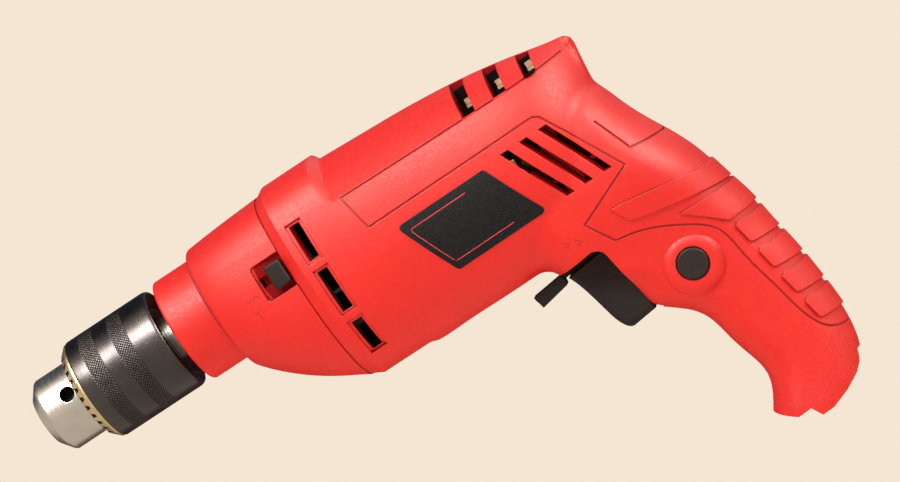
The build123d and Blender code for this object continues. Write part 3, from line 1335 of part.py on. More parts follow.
# Controls
with BuildPart() as switch_body:
    add(control_block(SWITCH_REAR, SWITCH_FRONT, SWITCH_LOW, SWITCH_TOP, -SWITCH_HALF, SWITCH_HALF))
    add(control_block(SWITCH_FRONT - 2, NOSE_FRONT, NOSE_LOW, TRIGGER_TOP, -7.5, 7.5))
    add(
        control_block(
            SWITCH_FRONT - STEM_LEN, SWITCH_FRONT + 1, STEM_LOW - MOVE_GAP, STEM_TOP + MOVE_GAP,
            -STEM_HALF - MOVE_GAP, STEM_HALF + MOVE_GAP,
        ),
        mode=Mode.SUBTRACT,
    )
    with BuildSketch(control_deck(LEVER_PIVOT, TRIGGER_TOP)):
        Circle(LEVER_PIN_R + RUN_FIT)
    extrude(amount=-4.5, mode=Mode.SUBTRACT)
    with BuildSketch(Plane.XZ.offset(-SWITCH_HALF)):
        with Locations((BUTTON_X, BUTTON_Z)):
            Circle(BUTTON_PIN_R + MOVE_GAP)
    extrude(amount=BUTTON_TRAVEL + 1.0, mode=Mode.SUBTRACT)
switch_body.part.label = "switch_body"

with BuildPart() as trigger:
    with BuildSketch(CONTROL):
        with BuildLine():
            Polyline(
                (TRIGGER_FOOT, TRIGGER_LOW), (TRIGGER_REAR, TRIGGER_LOW),
                (TRIGGER_REAR, TRIGGER_TOP), (TRIGGER_BROW, TRIGGER_TOP),
            )
            Spline(
                (TRIGGER_BROW, TRIGGER_TOP), (14.5, -7.0), (13.8, -13.0), (13.2, -19.5), (11.9, -25.6),
                (TRIGGER_FOOT, TRIGGER_LOW), tangents=((-0.35, -1), (-1, -0.1)),
            )
        make_face()
    extrude(amount=TRIGGER_HALF, both=True)
    fillet(trigger.edges().filter_by(GeomType.BSPLINE), TRIGGER_ROUND)
    add(control_block(GUIDE_REAR, TRIGGER_REAR + 1, -26.0, NOSE_LOW - 1.2, -7.0, 7.0))
    add(control_block(GUIDE_REAR - STEM_LEN, GUIDE_REAR + 1, STEM_LOW, STEM_TOP, -STEM_HALF, STEM_HALF))
trigger.part.label = "trigger"

with BuildPart() as direction_lever:
    with BuildSketch(control_deck(0, LEVER_LOW)):
        with Locations((LEVER_PIVOT, 0)):
            Circle(5.0)
        with BuildLine():
            Polyline(
                (LEVER_PIVOT, -3.6), (LEVER_PAD, -3.0), (LEVER_TIP, -4.6),
                (LEVER_TIP, 4.6), (LEVER_PAD, 3.0), (LEVER_PIVOT, 3.6), close=True,
            )
        make_face()
    extrude(amount=LEVER_THICK)
    with BuildSketch(CONTROL):
        with BuildLine():
            Polyline(
                (LEVER_PAD, LEVER_LOW + 0.3), (LEVER_PAD + 0.6, -1.2), (LEVER_TIP - 0.4, -2.1),
                (LEVER_TIP, LEVER_LOW + LEVER_THICK), (LEVER_PAD + 0.4, LEVER_LOW + LEVER_THICK),
                close=True,
            )
        make_face()
    extrude(amount=4.4, both=True)
    with BuildSketch(control_deck(LEVER_PIVOT, LEVER_LOW)):
        Circle(LEVER_PIN_R)
    extrude(amount=-4.0)
direction_lever.part.label = "direction_lever"

with BuildPart() as lock_button:
    with BuildSketch(Plane.XZ.offset(-BUTTON_FACE_Y)):
        with Locations((BUTTON_X, BUTTON_Z)):
            Circle(BUTTON_R)
    extrude(amount=BUTTON_FACE_Y - WIDE_ROOM_HALF + 0.5)
    fillet(lock_button.faces().sort_by(Axis.Y)[-1].edges(), 0.8)
    with BuildSketch(Plane.XZ.offset(0.5 - WIDE_ROOM_HALF)):
        with Locations((BUTTON_X, BUTTON_Z)):
            Circle(BUTTON_R + 1.2)
    extrude(amount=BUTTON_FLANGE)
    with BuildSketch(Plane.XZ.offset(0.5 - WIDE_ROOM_HALF)):
        with Locations((BUTTON_X, BUTTON_Z)):
            Circle(BUTTON_PIN_R)
    extrude(amount=WIDE_ROOM_HALF - SWITCH_HALF)
lock_button.part.label = "lock_button"

NODES = [
    housing_left, housing_right, housing_screws, label_plate,
    gear_case, gear_plate, plate_screws, retaining_ring,
    chuck_body, chuck_sleeve, key_ring, jaw_nut, jaw_1, jaw_2, jaw_3, chuck_screw,
    spindle, output_gear, turning_ratchet, fixed_ratchet, spindle_spring,
    bearing_outer, bearing_inner, spindle_bush,
    armature_shaft, armature_core, armature_winding, commutator, fan, motor_bearing, rear_bearing,
    bearing_cap, stator_core, field_coils, brush_holders, carbon_brushes, capacitor,
    mode_knob, mode_slider, switch_body, trigger, direction_lever, lock_button,
]
for node in NODES:
    export_step(node.part, "parts/" + node.part.label + ".step")
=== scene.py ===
import json
import math

import bmesh
import bpy
from mathutils import Matrix, Vector
from mathutils.bvhtree import BVHTree


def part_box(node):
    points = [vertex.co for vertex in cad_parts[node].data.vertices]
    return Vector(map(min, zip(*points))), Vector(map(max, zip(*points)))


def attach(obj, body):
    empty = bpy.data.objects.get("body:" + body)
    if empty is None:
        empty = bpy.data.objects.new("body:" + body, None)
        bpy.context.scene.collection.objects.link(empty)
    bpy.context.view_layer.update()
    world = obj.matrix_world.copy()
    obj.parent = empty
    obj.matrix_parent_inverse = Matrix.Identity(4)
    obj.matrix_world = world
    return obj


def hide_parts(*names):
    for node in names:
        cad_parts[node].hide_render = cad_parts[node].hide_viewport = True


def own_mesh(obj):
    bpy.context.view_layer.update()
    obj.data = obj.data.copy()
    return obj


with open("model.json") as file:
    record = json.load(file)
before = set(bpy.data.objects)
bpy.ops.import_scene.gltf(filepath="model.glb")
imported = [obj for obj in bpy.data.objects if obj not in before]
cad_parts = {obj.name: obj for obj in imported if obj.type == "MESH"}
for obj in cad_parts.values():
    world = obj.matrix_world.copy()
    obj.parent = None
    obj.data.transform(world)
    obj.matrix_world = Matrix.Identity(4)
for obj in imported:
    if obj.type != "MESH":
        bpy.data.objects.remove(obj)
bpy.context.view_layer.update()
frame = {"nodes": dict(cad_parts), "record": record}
nodes = frame["nodes"]
scene = bpy.context.scene
MM = 0.001

# Colours in linear light
BACKDROP = (0.913, 0.791, 0.651)
RED = (0.80, 0.010, 0.005)
RED_DEEP = (0.74, 0.008, 0.004)
# Dark red of the painted shade in the red plastic's grooves and inner corners
RED_PAINTED_SHADE = (0.40, 0.003, 0.002)
BLACK = (0.010, 0.0065, 0.006)
BLACK_WORN = (0.017, 0.011, 0.010)
GREY = (0.024, 0.014, 0.012)
GREY_DEEP = (0.015, 0.009, 0.008)

# Values of the shading helpers: clouds of colour, rounded edges, painted shade in grooves, stripes and
# turning marks
PLASTIC_CLOUDS, METAL_CLOUDS = 38, 60
CLOUD_DETAIL, CLOUD_ROUGH = 4, 0.6
BEVEL_SAMPLES = 6
# Samples, reach and levels of the painted shade in grooves
GROOVE_SAMPLES = 8
GROOVE_REACH = 1.2 * MM
GROOVE_DARK, GROOVE_CLEAR = 0.45, 0.85
WAVE_PERIOD = 0.314
TURNING_MARKS = (1, 0.02, 0.02)
NO_DIRECTION = (1, 1, 1)


# Shading helpers
def add_node(tree, kind, inputs=None, **settings):
    """A new node with some of its settings and some of its inputs' constant values."""
    node = tree.nodes.new(kind)
    for key, value in settings.items():
        setattr(node, key, value)
    for key, value in (inputs or {}).items():
        node.inputs[key].default_value = value
    return node


def colour_socket(sockets, name):
    """The socket that carries colours: a Mix node has one of each name for every type of data."""
    return next(socket for socket in sockets if socket.name == name and socket.type == "RGBA")


class Shader:
    """A principled material whose detail comes from procedural nodes in object space."""

    def __init__(self, name):
        self.mat = bpy.data.materials.new(name)
        self.mat.use_nodes = True
        self.tree = self.mat.node_tree
        self.bsdf = self.tree.nodes["Principled BSDF"]
        self.place = self.add("ShaderNodeTexCoord").outputs["Object"]

    def add(self, kind, inputs=None, **settings):
        return add_node(self.tree, kind, inputs, **settings)

    def link(self, source, target):
        self.tree.links.new(source, target)

    def set(self, **values):
        for key, value in values.items():
            self.bsdf.inputs[key.replace("_", " ")].default_value = value

    def stretched(self, scale):
        node = self.add("ShaderNodeMapping", {"Scale": scale})
        self.link(self.place, node.inputs["Vector"])
        return node.outputs["Vector"]

    def noise(self, scale, detail=2.0, rough=0.5, where=None):
        node = self.add("ShaderNodeTexNoise", {"Scale": scale, "Detail": detail, "Roughness": rough})
        self.link(where or self.place, node.inputs["Vector"])
        return node.outputs["Fac"]

    def clouds(self, scale):
        return self.noise(scale, CLOUD_DETAIL, CLOUD_ROUGH)

    def cells(self, scale):
        node = self.add("ShaderNodeTexVoronoi", {"Scale": scale})
        self.link(self.place, node.inputs["Vector"])
        return node.outputs["Distance"]

    def stripes(self, direction, pitch, distortion, detail=2.0):
        node = self.add("ShaderNodeTexWave", bands_direction=direction)
        node.inputs["Scale"].default_value = WAVE_PERIOD / pitch
        node.inputs["Distortion"].default_value = distortion
        node.inputs["Detail"].default_value = detail
        self.link(self.place, node.inputs["Vector"])
        return node.outputs["Fac"]

    def ramp(self, value, low, high, start=0.3, end=0.7):
        node = self.add("ShaderNodeValToRGB")
        first, last = node.color_ramp.elements
        first.position, last.position = start, end
        first.color = (*low, 1)
        last.color = (*high, 1)
        self.link(value, node.inputs["Fac"])
        return node.outputs["Color"]

    def span(self, value, low, high, start=0.3, end=0.7):
        ends = {"From Min": start, "From Max": end, "To Min": low, "To Max": high}
        node = self.add("ShaderNodeMapRange", ends)
        self.link(value, node.inputs["Value"])
        return node.outputs["Result"]

    def edge(self, radius):
        self.bevel = self.add("ShaderNodeBevel", {"Radius": radius}, samples=BEVEL_SAMPLES)
        return self.bevel.outputs["Normal"]

    def widen(self, radius, centre, reach, fade):
        """Round edges more in a box-shaped region, fading to the usual rounding at its border."""
        usual = self.bevel.inputs["Radius"].default_value
        off = self.add("ShaderNodeVectorMath", {1: centre}, operation="SUBTRACT")
        self.link(self.place, off.inputs[0])
        size = self.add("ShaderNodeVectorMath", operation="ABSOLUTE")
        self.link(off.outputs["Vector"], size.inputs[0])
        past = self.add("ShaderNodeVectorMath", {1: reach}, operation="SUBTRACT")
        self.link(size.outputs["Vector"], past.inputs[0])
        axes = self.add("ShaderNodeSeparateXYZ")
        self.link(past.outputs["Vector"], axes.inputs["Vector"])
        both = self.add("ShaderNodeMath", operation="MAXIMUM")
        self.link(axes.outputs["X"], both.inputs[0])
        self.link(axes.outputs["Z"], both.inputs[1])
        self.link(self.span(both.outputs[0], radius, usual, 0.0, fade), self.bevel.inputs["Radius"])

    def paint_crevice_shade(self, colour, deep):
        """Painted shade: darken a colour towards deep in narrow grooves and inner corners, where ambient
        occlusion finds them.
        """
        node = self.add("ShaderNodeAmbientOcclusion", {"Distance": GROOVE_REACH}, samples=GROOVE_SAMPLES)
        open_share = self.span(node.outputs["AO"], 0.0, 1.0, GROOVE_DARK, GROOVE_CLEAR)
        mix = self.add("ShaderNodeMix", data_type="RGBA")
        self.link(open_share, mix.inputs["Factor"])
        colour_socket(mix.inputs, "A").default_value = (*deep, 1)
        self.link(colour, colour_socket(mix.inputs, "B"))
        return colour_socket(mix.outputs, "Result")

    def bump(self, height, depth, normal=None):
        node = self.add("ShaderNodeBump", {"Strength": 1.0, "Distance": depth})
        self.link(height, node.inputs["Height"])
        if normal is not None:
            self.link(normal, node.inputs["Normal"])
        return node.outputs["Normal"]

    def colour(self, socket):
        self.link(socket, self.bsdf.inputs["Base Color"])

    def rough(self, socket):
        self.link(socket, self.bsdf.inputs["Roughness"])

    def normal(self, socket):
        self.link(socket, self.bsdf.inputs["Normal"])


def moulded(name, low, high, rough, grain, depth, edge, specular=0.5, soft=None, deep=None):
    """Plastic with a fine grain, and where asked for a softer region and painted shade in grooves and inner
    corners.
    """
    s = Shader(name)
    s.set(Metallic=0.0, Specular_IOR_Level=specular)
    colour = s.ramp(s.clouds(PLASTIC_CLOUDS), low, high)
    if deep:
        colour = s.paint_crevice_shade(colour, deep)
    s.colour(colour)
    s.rough(s.span(s.noise(grain * 0.45), *rough))
    s.normal(s.bump(s.noise(grain, rough=0.6), depth, s.edge(edge)))
    if soft:
        s.widen(**soft)
    return s.mat


def turned(name, low, high, rough, lines, depth, edge, across=TURNING_MARKS):
    """Metal with the fine rings that a lathe leaves."""
    s = Shader(name)
    s.set(Metallic=1.0)
    s.colour(s.ramp(s.clouds(METAL_CLOUDS), low, high))
    marks = s.noise(lines, 3, 0.65, s.stretched(across))
    s.rough(s.span(marks, *rough))
    s.normal(s.bump(marks, depth, s.edge(edge)))
    return s.mat


def mottled(name, low, high, rough, grain, depth, edge, metal=1.0):
    """Cast or plated metal with an uneven skin."""
    s = Shader(name)
    s.set(Metallic=metal)
    s.colour(s.ramp(s.clouds(grain * 0.3), low, high))
    s.rough(s.span(s.noise(grain * 0.5, 3), *rough))
    s.normal(s.bump(s.cells(grain), depth, s.edge(edge)))
    return s.mat


def layered(name, low, high, pitch, rough, depth):
    """Stacked steel sheets."""
    s = Shader(name)
    s.set(Metallic=1.0, Roughness=rough)
    sheets = s.stripes("X", pitch, 0.4)
    s.colour(s.ramp(sheets, low, high, 0.1, 0.7))
    s.normal(s.bump(sheets, depth))
    return s.mat


def wound(name, low, high, pitch, rough, depth):
    """Lacquered wire laid in slanting turns."""
    s = Shader(name)
    s.set(Metallic=0.75, Roughness=rough)
    turns = s.stripes("DIAGONAL", pitch, 2.0, 1.0)
    s.colour(s.ramp(turns, low, high, 0.1, 0.8))
    s.normal(s.bump(turns, depth))
    return s.mat


def label_sheet(name):
    """Dark sheet with a fine weave."""
    s = Shader(name)
    s.set(Metallic=0.0, Specular_IOR_Level=0.24)
    weave = s.noise(1500, 3, 0.7, s.stretched((1, 1, 1.8)))
    s.colour(s.ramp(weave, (0.002, 0.002, 0.003), (0.020, 0.019, 0.024), 0.42, 0.72))
    s.rough(s.span(weave, 0.34, 0.60))
    s.normal(s.bump(weave, 0.10 * MM, s.edge(0.2 * MM)))
    return s.mat


# Plastics, carbon and the label plate's sheet, with softer edges at the step in the roof
ROOF_STEP = {"radius": 2.6 * MM, "centre": (-78.0 * MM, 0.0, 24.5 * MM),
             "reach": (4.0 * MM, 1.0, 12.0 * MM), "fade": 2.0 * MM}
# The red plastic carries painted shade in its grooves and inner corners
red_plastic = moulded("red_plastic", RED_DEEP, RED, (0.40, 0.54), grain=1700, depth=0.12 * MM,
                      edge=0.5 * MM, specular=0.45, soft=ROOF_STEP, deep=RED_PAINTED_SHADE)
# Darker red of painted shade for the vent walls, the knob's recess, its slider and the webs inside the
# housing
painted_shade_red = moulded("painted_shade_red", (0.26, 0.002, 0.003), (0.36, 0.003, 0.004), (0.6, 0.74),
                     grain=1700, depth=0.10 * MM, edge=0.5 * MM, specular=0.08)
# Dark red of the printed marks, also used for the painted shade line at the collar
red_line = moulded("red_line", (0.16, 0.002, 0.002), (0.26, 0.004, 0.003), (0.6, 0.8),
                   grain=3000, depth=0.03 * MM, edge=0.1 * MM)
black_plastic = moulded("black_plastic", BLACK, BLACK_WORN, (0.50, 0.66),
                        grain=2200, depth=0.05 * MM, edge=0.4 * MM, specular=0.27)
grey_plastic = moulded("grey_plastic", GREY_DEEP, GREY, (0.42, 0.56),
                       grain=2000, depth=0.04 * MM, edge=0.4 * MM, specular=0.28)
border_red = moulded("border_red", (0.62, 0.02, 0.03), (0.74, 0.03, 0.04), (0.4, 0.5),
                     grain=3000, depth=0.01 * MM, edge=0.1 * MM)
capacitor_yellow = moulded("capacitor_yellow", (0.72, 0.46, 0.06), (0.80, 0.55, 0.09), (0.25, 0.35),
                           grain=900, depth=0.02 * MM, edge=0.6 * MM)
carbon = moulded("carbon", (0.018, 0.018, 0.018), (0.032, 0.031, 0.030), (0.6, 0.8),
                 grain=4000, depth=0.05 * MM, edge=0.3 * MM)
# Near-black of the painted shade sheets behind the roof vents
vent_shade_black = moulded("vent_shade_black", (0.004, 0.003, 0.003), (0.010, 0.006, 0.006), (0.7, 0.85),
                      grain=2200, depth=0.05 * MM, edge=0.4 * MM, specular=0.04)
label_black = label_sheet("label_black")

# Turned steels
bright_steel = turned("bright_steel", (0.54, 0.525, 0.49), (0.68, 0.66, 0.62), (0.24, 0.38),
                      lines=9000, depth=0.006 * MM, edge=0.4 * MM)
dark_steel = turned("dark_steel", (0.24, 0.235, 0.23), (0.34, 0.33, 0.32), (0.26, 0.40),
                    lines=7000, depth=0.008 * MM, edge=0.3 * MM)
screw_steel = turned("screw_steel", (0.12, 0.115, 0.11), (0.20, 0.19, 0.185), (0.30, 0.44),
                     lines=5000, depth=0.008 * MM, edge=0.2 * MM)
black_steel = turned("black_steel", (0.070, 0.062, 0.064), (0.105, 0.095, 0.097), (0.24, 0.38),
                     lines=1500, depth=0.004 * MM, edge=0.2 * MM, across=NO_DIRECTION)
# Painted shade for the floors of the knurl's grooves
knurl_groove_shade = turned("knurl_groove_shade", (0.016, 0.014, 0.014), (0.032, 0.028, 0.028), (0.45, 0.62),
                      lines=1500, depth=0.004 * MM, edge=0.2 * MM, across=NO_DIRECTION)
# Black steel darkened further by painted shade, for the chuck's hub and key holes
hub_black_and_shade = turned("hub_black_and_shade", (0.016, 0.014, 0.013), (0.034, 0.029, 0.027), (0.34, 0.50),
                   lines=2500, depth=0.006 * MM, edge=0.3 * MM)

# Cast and plated metals
# Painted shade for the gaps between the key ring's teeth
tooth_shade = mottled("tooth_shade", (0.010, 0.006, 0.004), (0.030, 0.018, 0.010), (0.5, 0.7),
                      grain=1400, depth=0.02 * MM, edge=0.2 * MM, metal=0.3)
zinc_gold = mottled("zinc_gold", (0.66, 0.50, 0.28), (0.80, 0.65, 0.42), (0.30, 0.44),
                    grain=1400, depth=0.02 * MM, edge=0.3 * MM)
cast_alloy = mottled("cast_alloy", (0.50, 0.50, 0.49), (0.66, 0.66, 0.65), (0.40, 0.58),
                     grain=1100, depth=0.06 * MM, edge=0.4 * MM)
bronze = mottled("bronze", (0.46, 0.30, 0.13), (0.60, 0.42, 0.20), (0.34, 0.5),
                 grain=1800, depth=0.03 * MM, edge=0.3 * MM)
# Darker than bare brass: painted shade on the brush holders inside the housing
brush_brass = mottled("brush_brass", (0.26, 0.16, 0.07), (0.36, 0.24, 0.11), (0.34, 0.48),
                      grain=900, depth=0.01 * MM, edge=0.3 * MM)
clip_brass = mottled("clip_brass", (0.30, 0.17, 0.10), (0.46, 0.29, 0.18), (0.60, 0.75),
                     grain=900, depth=0.02 * MM, edge=0.3 * MM, metal=0.3)

# Motor windings and cores
lamination = layered("lamination", (0.12, 0.115, 0.11), (0.30, 0.29, 0.28),
                     pitch=0.5 * MM, rough=0.45, depth=0.06 * MM)
copper = wound("copper", (0.34, 0.11, 0.045), (0.66, 0.27, 0.12),
               pitch=0.7 * MM, rough=0.32, depth=0.18 * MM)

NODE_FINISH = {
    "red_plastic": red_plastic, "black_plastic": black_plastic, "grey_plastic": grey_plastic,
    "label_black": label_black, "black_steel": black_steel, "zinc_gold": zinc_gold,
    "bright_steel": bright_steel, "dark_steel": dark_steel, "screw_steel": screw_steel,
    "cast_alloy": cast_alloy, "lamination": lamination, "copper": copper, "bronze": bronze,
    "brush_brass": brush_brass, "carbon": carbon, "capacitor_yellow": capacitor_yellow,
}
SLOT_OF = {part["node"]: part["material_slot"] for part in frame["record"]["subparts"]}
for name, obj in nodes.items():
    obj.data.materials.clear()
    obj.data.materials.append(NODE_FINISH[SLOT_OF[name]])

# The slider behind the mode knob takes the painted shade of its slot
nodes["mode_slider"].data.materials[0] = painted_shade_red


# A second finish on some faces of a mesh
def paint_faces(mesh, finish, chosen):
    mesh.materials.append(finish)
    for face in mesh.polygons:
        if chosen(face):
            face.material_index = 1


# Roof vents: place along X, half width, top of the liner, height of the clip, in mm
ROOF_VENTS = ((-138.8, 2.8, 19.0, 11.4), (-152.2, 2.7, 17.4, 10.9), (-165.2, 2.5, 15.2, 10.4))
VENT_SLACK = 0.05
VENT_INNER_Y, VENT_OUTER_Y = 2.0, 21.0
VENT_LOW_Z, VENT_TOP_Z = 8.0, 22.0
SQUARE_ON = 0.9


def roof_vent_wall(face):
    """The walls of the roof vents get a painted deep shade."""
    spot = face.center / MM
    in_vent = any(abs(spot.x - vent_x) < half + VENT_SLACK for vent_x, half, _, _ in ROOF_VENTS)
    in_roof = VENT_INNER_Y < abs(spot.y) < VENT_OUTER_Y and VENT_LOW_Z < spot.z < VENT_TOP_Z
    upright = abs(face.normal.x) > SQUARE_ON or abs(face.normal.y) > SQUARE_ON
    return in_vent and in_roof and upright


# Recess of the mode knob in the gear case, in mm
RECESS_FRONT_X = -39.5
RECESS_MID_Z, RECESS_HALF_Z = -0.4, 7.3
RECESS_BACK_Y, RECESS_FLOOR_Y = 27.0, 27.8
STEEP = 0.6


def knob_recess(face):
    """The floor and walls of the knob's recess get a painted deep shade."""
    spot = face.center / MM
    in_height = abs(spot.z - RECESS_MID_Z) < RECESS_HALF_Z
    inside = spot.x < RECESS_FRONT_X and in_height and spot.y > RECESS_BACK_Y
    wall = abs(face.normal.x) > STEEP or abs(face.normal.z) > STEEP
    return inside and (wall or spot.y < RECESS_FLOOR_Y)


HUB_FRONT_X = 14.0 * MM
KEY_HOLE_REAR_X, KEY_HOLE_FRONT_X = 44.5 * MM, 51.5 * MM
KEY_HOLE_INNER_R, KEY_HOLE_OUTER_R = 8.0 * MM, 14.95 * MM


def hub_and_key_hole_shade(face):
    """The chuck body is bright on its nose only: its hub is black steel darkened further by painted shade,
    and its key holes get painted shade.
    """
    spot = face.center
    reach = math.hypot(spot.y, spot.z)
    key_hole = KEY_HOLE_REAR_X < spot.x < KEY_HOLE_FRONT_X and KEY_HOLE_INNER_R < reach < KEY_HOLE_OUTER_R
    return spot.x < HUB_FRONT_X or key_hole


RING_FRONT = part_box("key_ring")[1].x
TOOTH_TIP = 1.5 * MM
TOOTH_LENGTH = 2.1 * MM
SIDEWAYS, LEVEL = 0.5, 0.3


def tooth_gap(face):
    """The spaces between the key ring's teeth are darkened with painted shade."""
    spot, facing = face.center, face.normal
    reach = math.hypot(spot.y, spot.z)
    outward = (facing.y * spot.y + facing.z * spot.z) / reach
    around = (facing.z * spot.y - facing.y * spot.z) / reach
    wall = abs(around) > SIDEWAYS
    gap_floor = outward > SQUARE_ON and abs(facing.x) < LEVEL
    back_wall = facing.x > SQUARE_ON and spot.x < RING_FRONT - TOOTH_TIP
    return spot.x > RING_FRONT - TOOTH_LENGTH and (wall or gap_floor or back_wall)


for shell in ("housing_left", "housing_right"):
    paint_faces(nodes[shell].data, painted_shade_red, roof_vent_wall)
paint_faces(nodes["gear_case"].data, painted_shade_red, knob_recess)
paint_faces(nodes["chuck_body"].data, hub_black_and_shade, hub_and_key_hole_shade)
paint_faces(nodes["key_ring"].data, tooth_shade, tooth_gap)


# Geometry helpers
def place_object(name, data):
    obj = bpy.data.objects.new(name, data)
    scene.collection.objects.link(obj)
    return obj


def piece(name, mesh_maker, finish, body, smooth=None):
    mesh = bpy.data.meshes.new(name)
    bm = bmesh.new()
    mesh_maker(bm)
    bmesh.ops.recalc_face_normals(bm, faces=bm.faces)
    bm.to_mesh(mesh)
    bm.free()
    obj = place_object(name, mesh)
    mesh.materials.append(finish)
    if smooth is not None:
        mesh.shade_smooth()
        mesh.set_sharp_from_angle(angle=smooth)
    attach(obj, body)
    return obj


def loft(bm, rows, around=True, capped=True):
    """Join neighbouring rows of vertices, all the way around each row or as an open sheet."""
    count = len(rows[0])
    for a, b in zip(rows, rows[1:]):
        for k in range(count if around else count - 1):
            n = (k + 1) % count
            bm.faces.new((a[k], a[n], b[n], b[k]))
    if capped:
        bm.faces.new(rows[0])
        bm.faces.new(rows[-1][::-1])


# Chuck sleeve with two knurled bands
SLEEVE_LOW, SLEEVE_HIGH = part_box("chuck_sleeve")
SLEEVE_R = SLEEVE_HIGH.y
SLEEVE_WALL = 1.7 * MM
SLEEVE_SMOOTH = math.radians(28)
FRONT_GAP = 0.02 * MM
FRONT_FACE = 0.9 * MM
FRONT_ROUND, FRONT_STEPS = 0.7 * MM, 5
REAR_RIM, REAR_LIP, REAR_STEPS = 2.4 * MM, 1.2 * MM, 8
DISH_STEP, DISH_BULGE, DISH_STEPS = 0.2 * MM, 0.6 * MM, 8
HUB_GAP_R = 14.4 * MM
HUB_DEPTH = 5.95 * MM
HUB_OVERLAP = 1.6 * MM
KNURL_CENTRES = (SLEEVE_HIGH.x - 9.0 * MM, SLEEVE_HIGH.x - 22.0 * MM)
KNURL_HALF = 3.2 * MM
KNURL_DEPTH = 0.30 * MM
KNURL_MARGIN, KNURL_STEP = 0.5 * MM, 0.06 * MM
KNURL_COUNT = 104
KNURL_FINE = 6
KNURL_SLOPE = 3.2
KNURL_DARK = 0.6
SLEEVE_STEPS = KNURL_COUNT * KNURL_FINE


def knurl(x, turn):
    """Height of crossed diagonal grooves at a station and angle, 0 at the groove floor and 1 at a point."""
    pitch = 2 * math.pi * SLEEVE_R / KNURL_COUNT
    u = turn * KNURL_COUNT / (2 * math.pi)
    v = x / pitch
    first = abs(2 * ((u + v) % 1.0) - 1)
    second = abs(2 * ((u - v) % 1.0) - 1)
    return min(1.0, KNURL_SLOPE * min(first, second))


def sleeve_profile():
    """Stations, radii and knurled band, from the front face over the outside into the dished rear."""
    x0, x1 = SLEEVE_LOW.x, SLEEVE_HIGH.x
    outer, inner = SLEEVE_R, SLEEVE_R - SLEEVE_WALL
    points = [(x1, inner + FRONT_GAP, None), (x1, outer - FRONT_FACE, None)]
    for k in range(FRONT_STEPS + 1):
        a = math.radians(90 - 90 * k / FRONT_STEPS)
        x = x1 - FRONT_ROUND + FRONT_ROUND * math.sin(a)
        points.append((x, outer - FRONT_ROUND + FRONT_ROUND * math.cos(a), None))
    rows = round(2 * KNURL_FINE * KNURL_HALF * KNURL_COUNT / (2 * math.pi * SLEEVE_R))
    for centre in KNURL_CENTRES:
        points.append((centre + KNURL_HALF + KNURL_MARGIN, outer, None))
        points.append((centre + KNURL_HALF + KNURL_STEP, outer, None))
        for k in range(rows + 1):
            points.append((centre + KNURL_HALF - 2 * KNURL_HALF * k / rows, outer, centre))
        points.append((centre - KNURL_HALF - KNURL_STEP, outer, None))
        points.append((centre - KNURL_HALF - KNURL_MARGIN, outer, None))
    for k in range(REAR_STEPS + 1):
        a = math.radians(90 * k / REAR_STEPS)
        x = x0 + REAR_RIM - REAR_RIM * math.sin(a)
        points.append((x, outer - REAR_LIP + REAR_LIP * math.cos(a), None))
    dish_r = inner + DISH_STEP
    for k in range(DISH_STEPS + 1):
        t = k / DISH_STEPS
        x = x0 + HUB_DEPTH * t + DISH_BULGE * math.sin(math.pi * t)
        points.append((x, dish_r - (dish_r - HUB_GAP_R) * t, None))
    points.append((x0 + HUB_DEPTH + HUB_OVERLAP, HUB_GAP_R, None))
    return points


def sleeve_mesh(bm):
    rings = []
    for x, r, band in sleeve_profile():
        ring = []
        for k in range(SLEEVE_STEPS):
            turn = 2 * math.pi * k / SLEEVE_STEPS
            radius = r
            if band is not None:
                radius = r - KNURL_DEPTH * (1 - knurl(x - band, turn))
            ring.append(bm.verts.new((x, radius * math.cos(turn), radius * math.sin(turn))))
        rings.append(ring)
    loft(bm, rings, capped=False)


def knurl_groove(face):
    spot = face.center
    turn = math.atan2(spot.z, spot.y)
    return any(abs(spot.x - centre) < KNURL_HALF and knurl(spot.x - centre, turn) < KNURL_DARK
               for centre in KNURL_CENTRES)


sleeve = piece("knurled_sleeve", sleeve_mesh, black_steel, "sleeve", SLEEVE_SMOOTH)
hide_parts("chuck_sleeve")
# The floors of the knurl's grooves take painted shade
paint_faces(sleeve.data, knurl_groove_shade, knurl_groove)

# Spindle spring, copied from the part's mesh onto the housing; in the drill the spindle's thrust shortens it
# towards its rear end
SPRING_SMOOTH = math.radians(40)


def spring_mesh(bm):
    bm.from_mesh(nodes["spindle_spring"].data)


spring = piece("coil_spring", spring_mesh, dark_steel, "housing", SPRING_SMOOTH)
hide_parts("spindle_spring")
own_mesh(spring)


# Surface finder for what lies on the housing
def surface(*names):
    verts, faces = [], []
    for name in names:
        base = len(verts)
        mesh = nodes[name].data
        verts += [v.co.copy() for v in mesh.vertices]
        faces += [tuple(base + i for i in p.vertices) for p in mesh.polygons]
    return BVHTree.FromPolygons(verts, faces)


LEFT_SIDE = surface("housing_left", "label_plate")
CASE_SIDE = surface("gear_case")
FAR = 0.2


def on_left(x, z, tree=LEFT_SIDE):
    spot, normal, _, _ = tree.ray_cast(Vector((x, FAR, z)), Vector((0, -1, 0)))
    return spot, normal


def resample(points, step):
    out = []
    for a, b in zip(points, points[1:]):
        a, b = Vector(a), Vector(b)
        count = max(1, int((b - a).length / step))
        out += [a.lerp(b, k / count) for k in range(count)]
    out.append(Vector(points[-1]))
    return out


RIBBON_STEP = 0.8 * MM
RIBBON_CROWN = 0.6


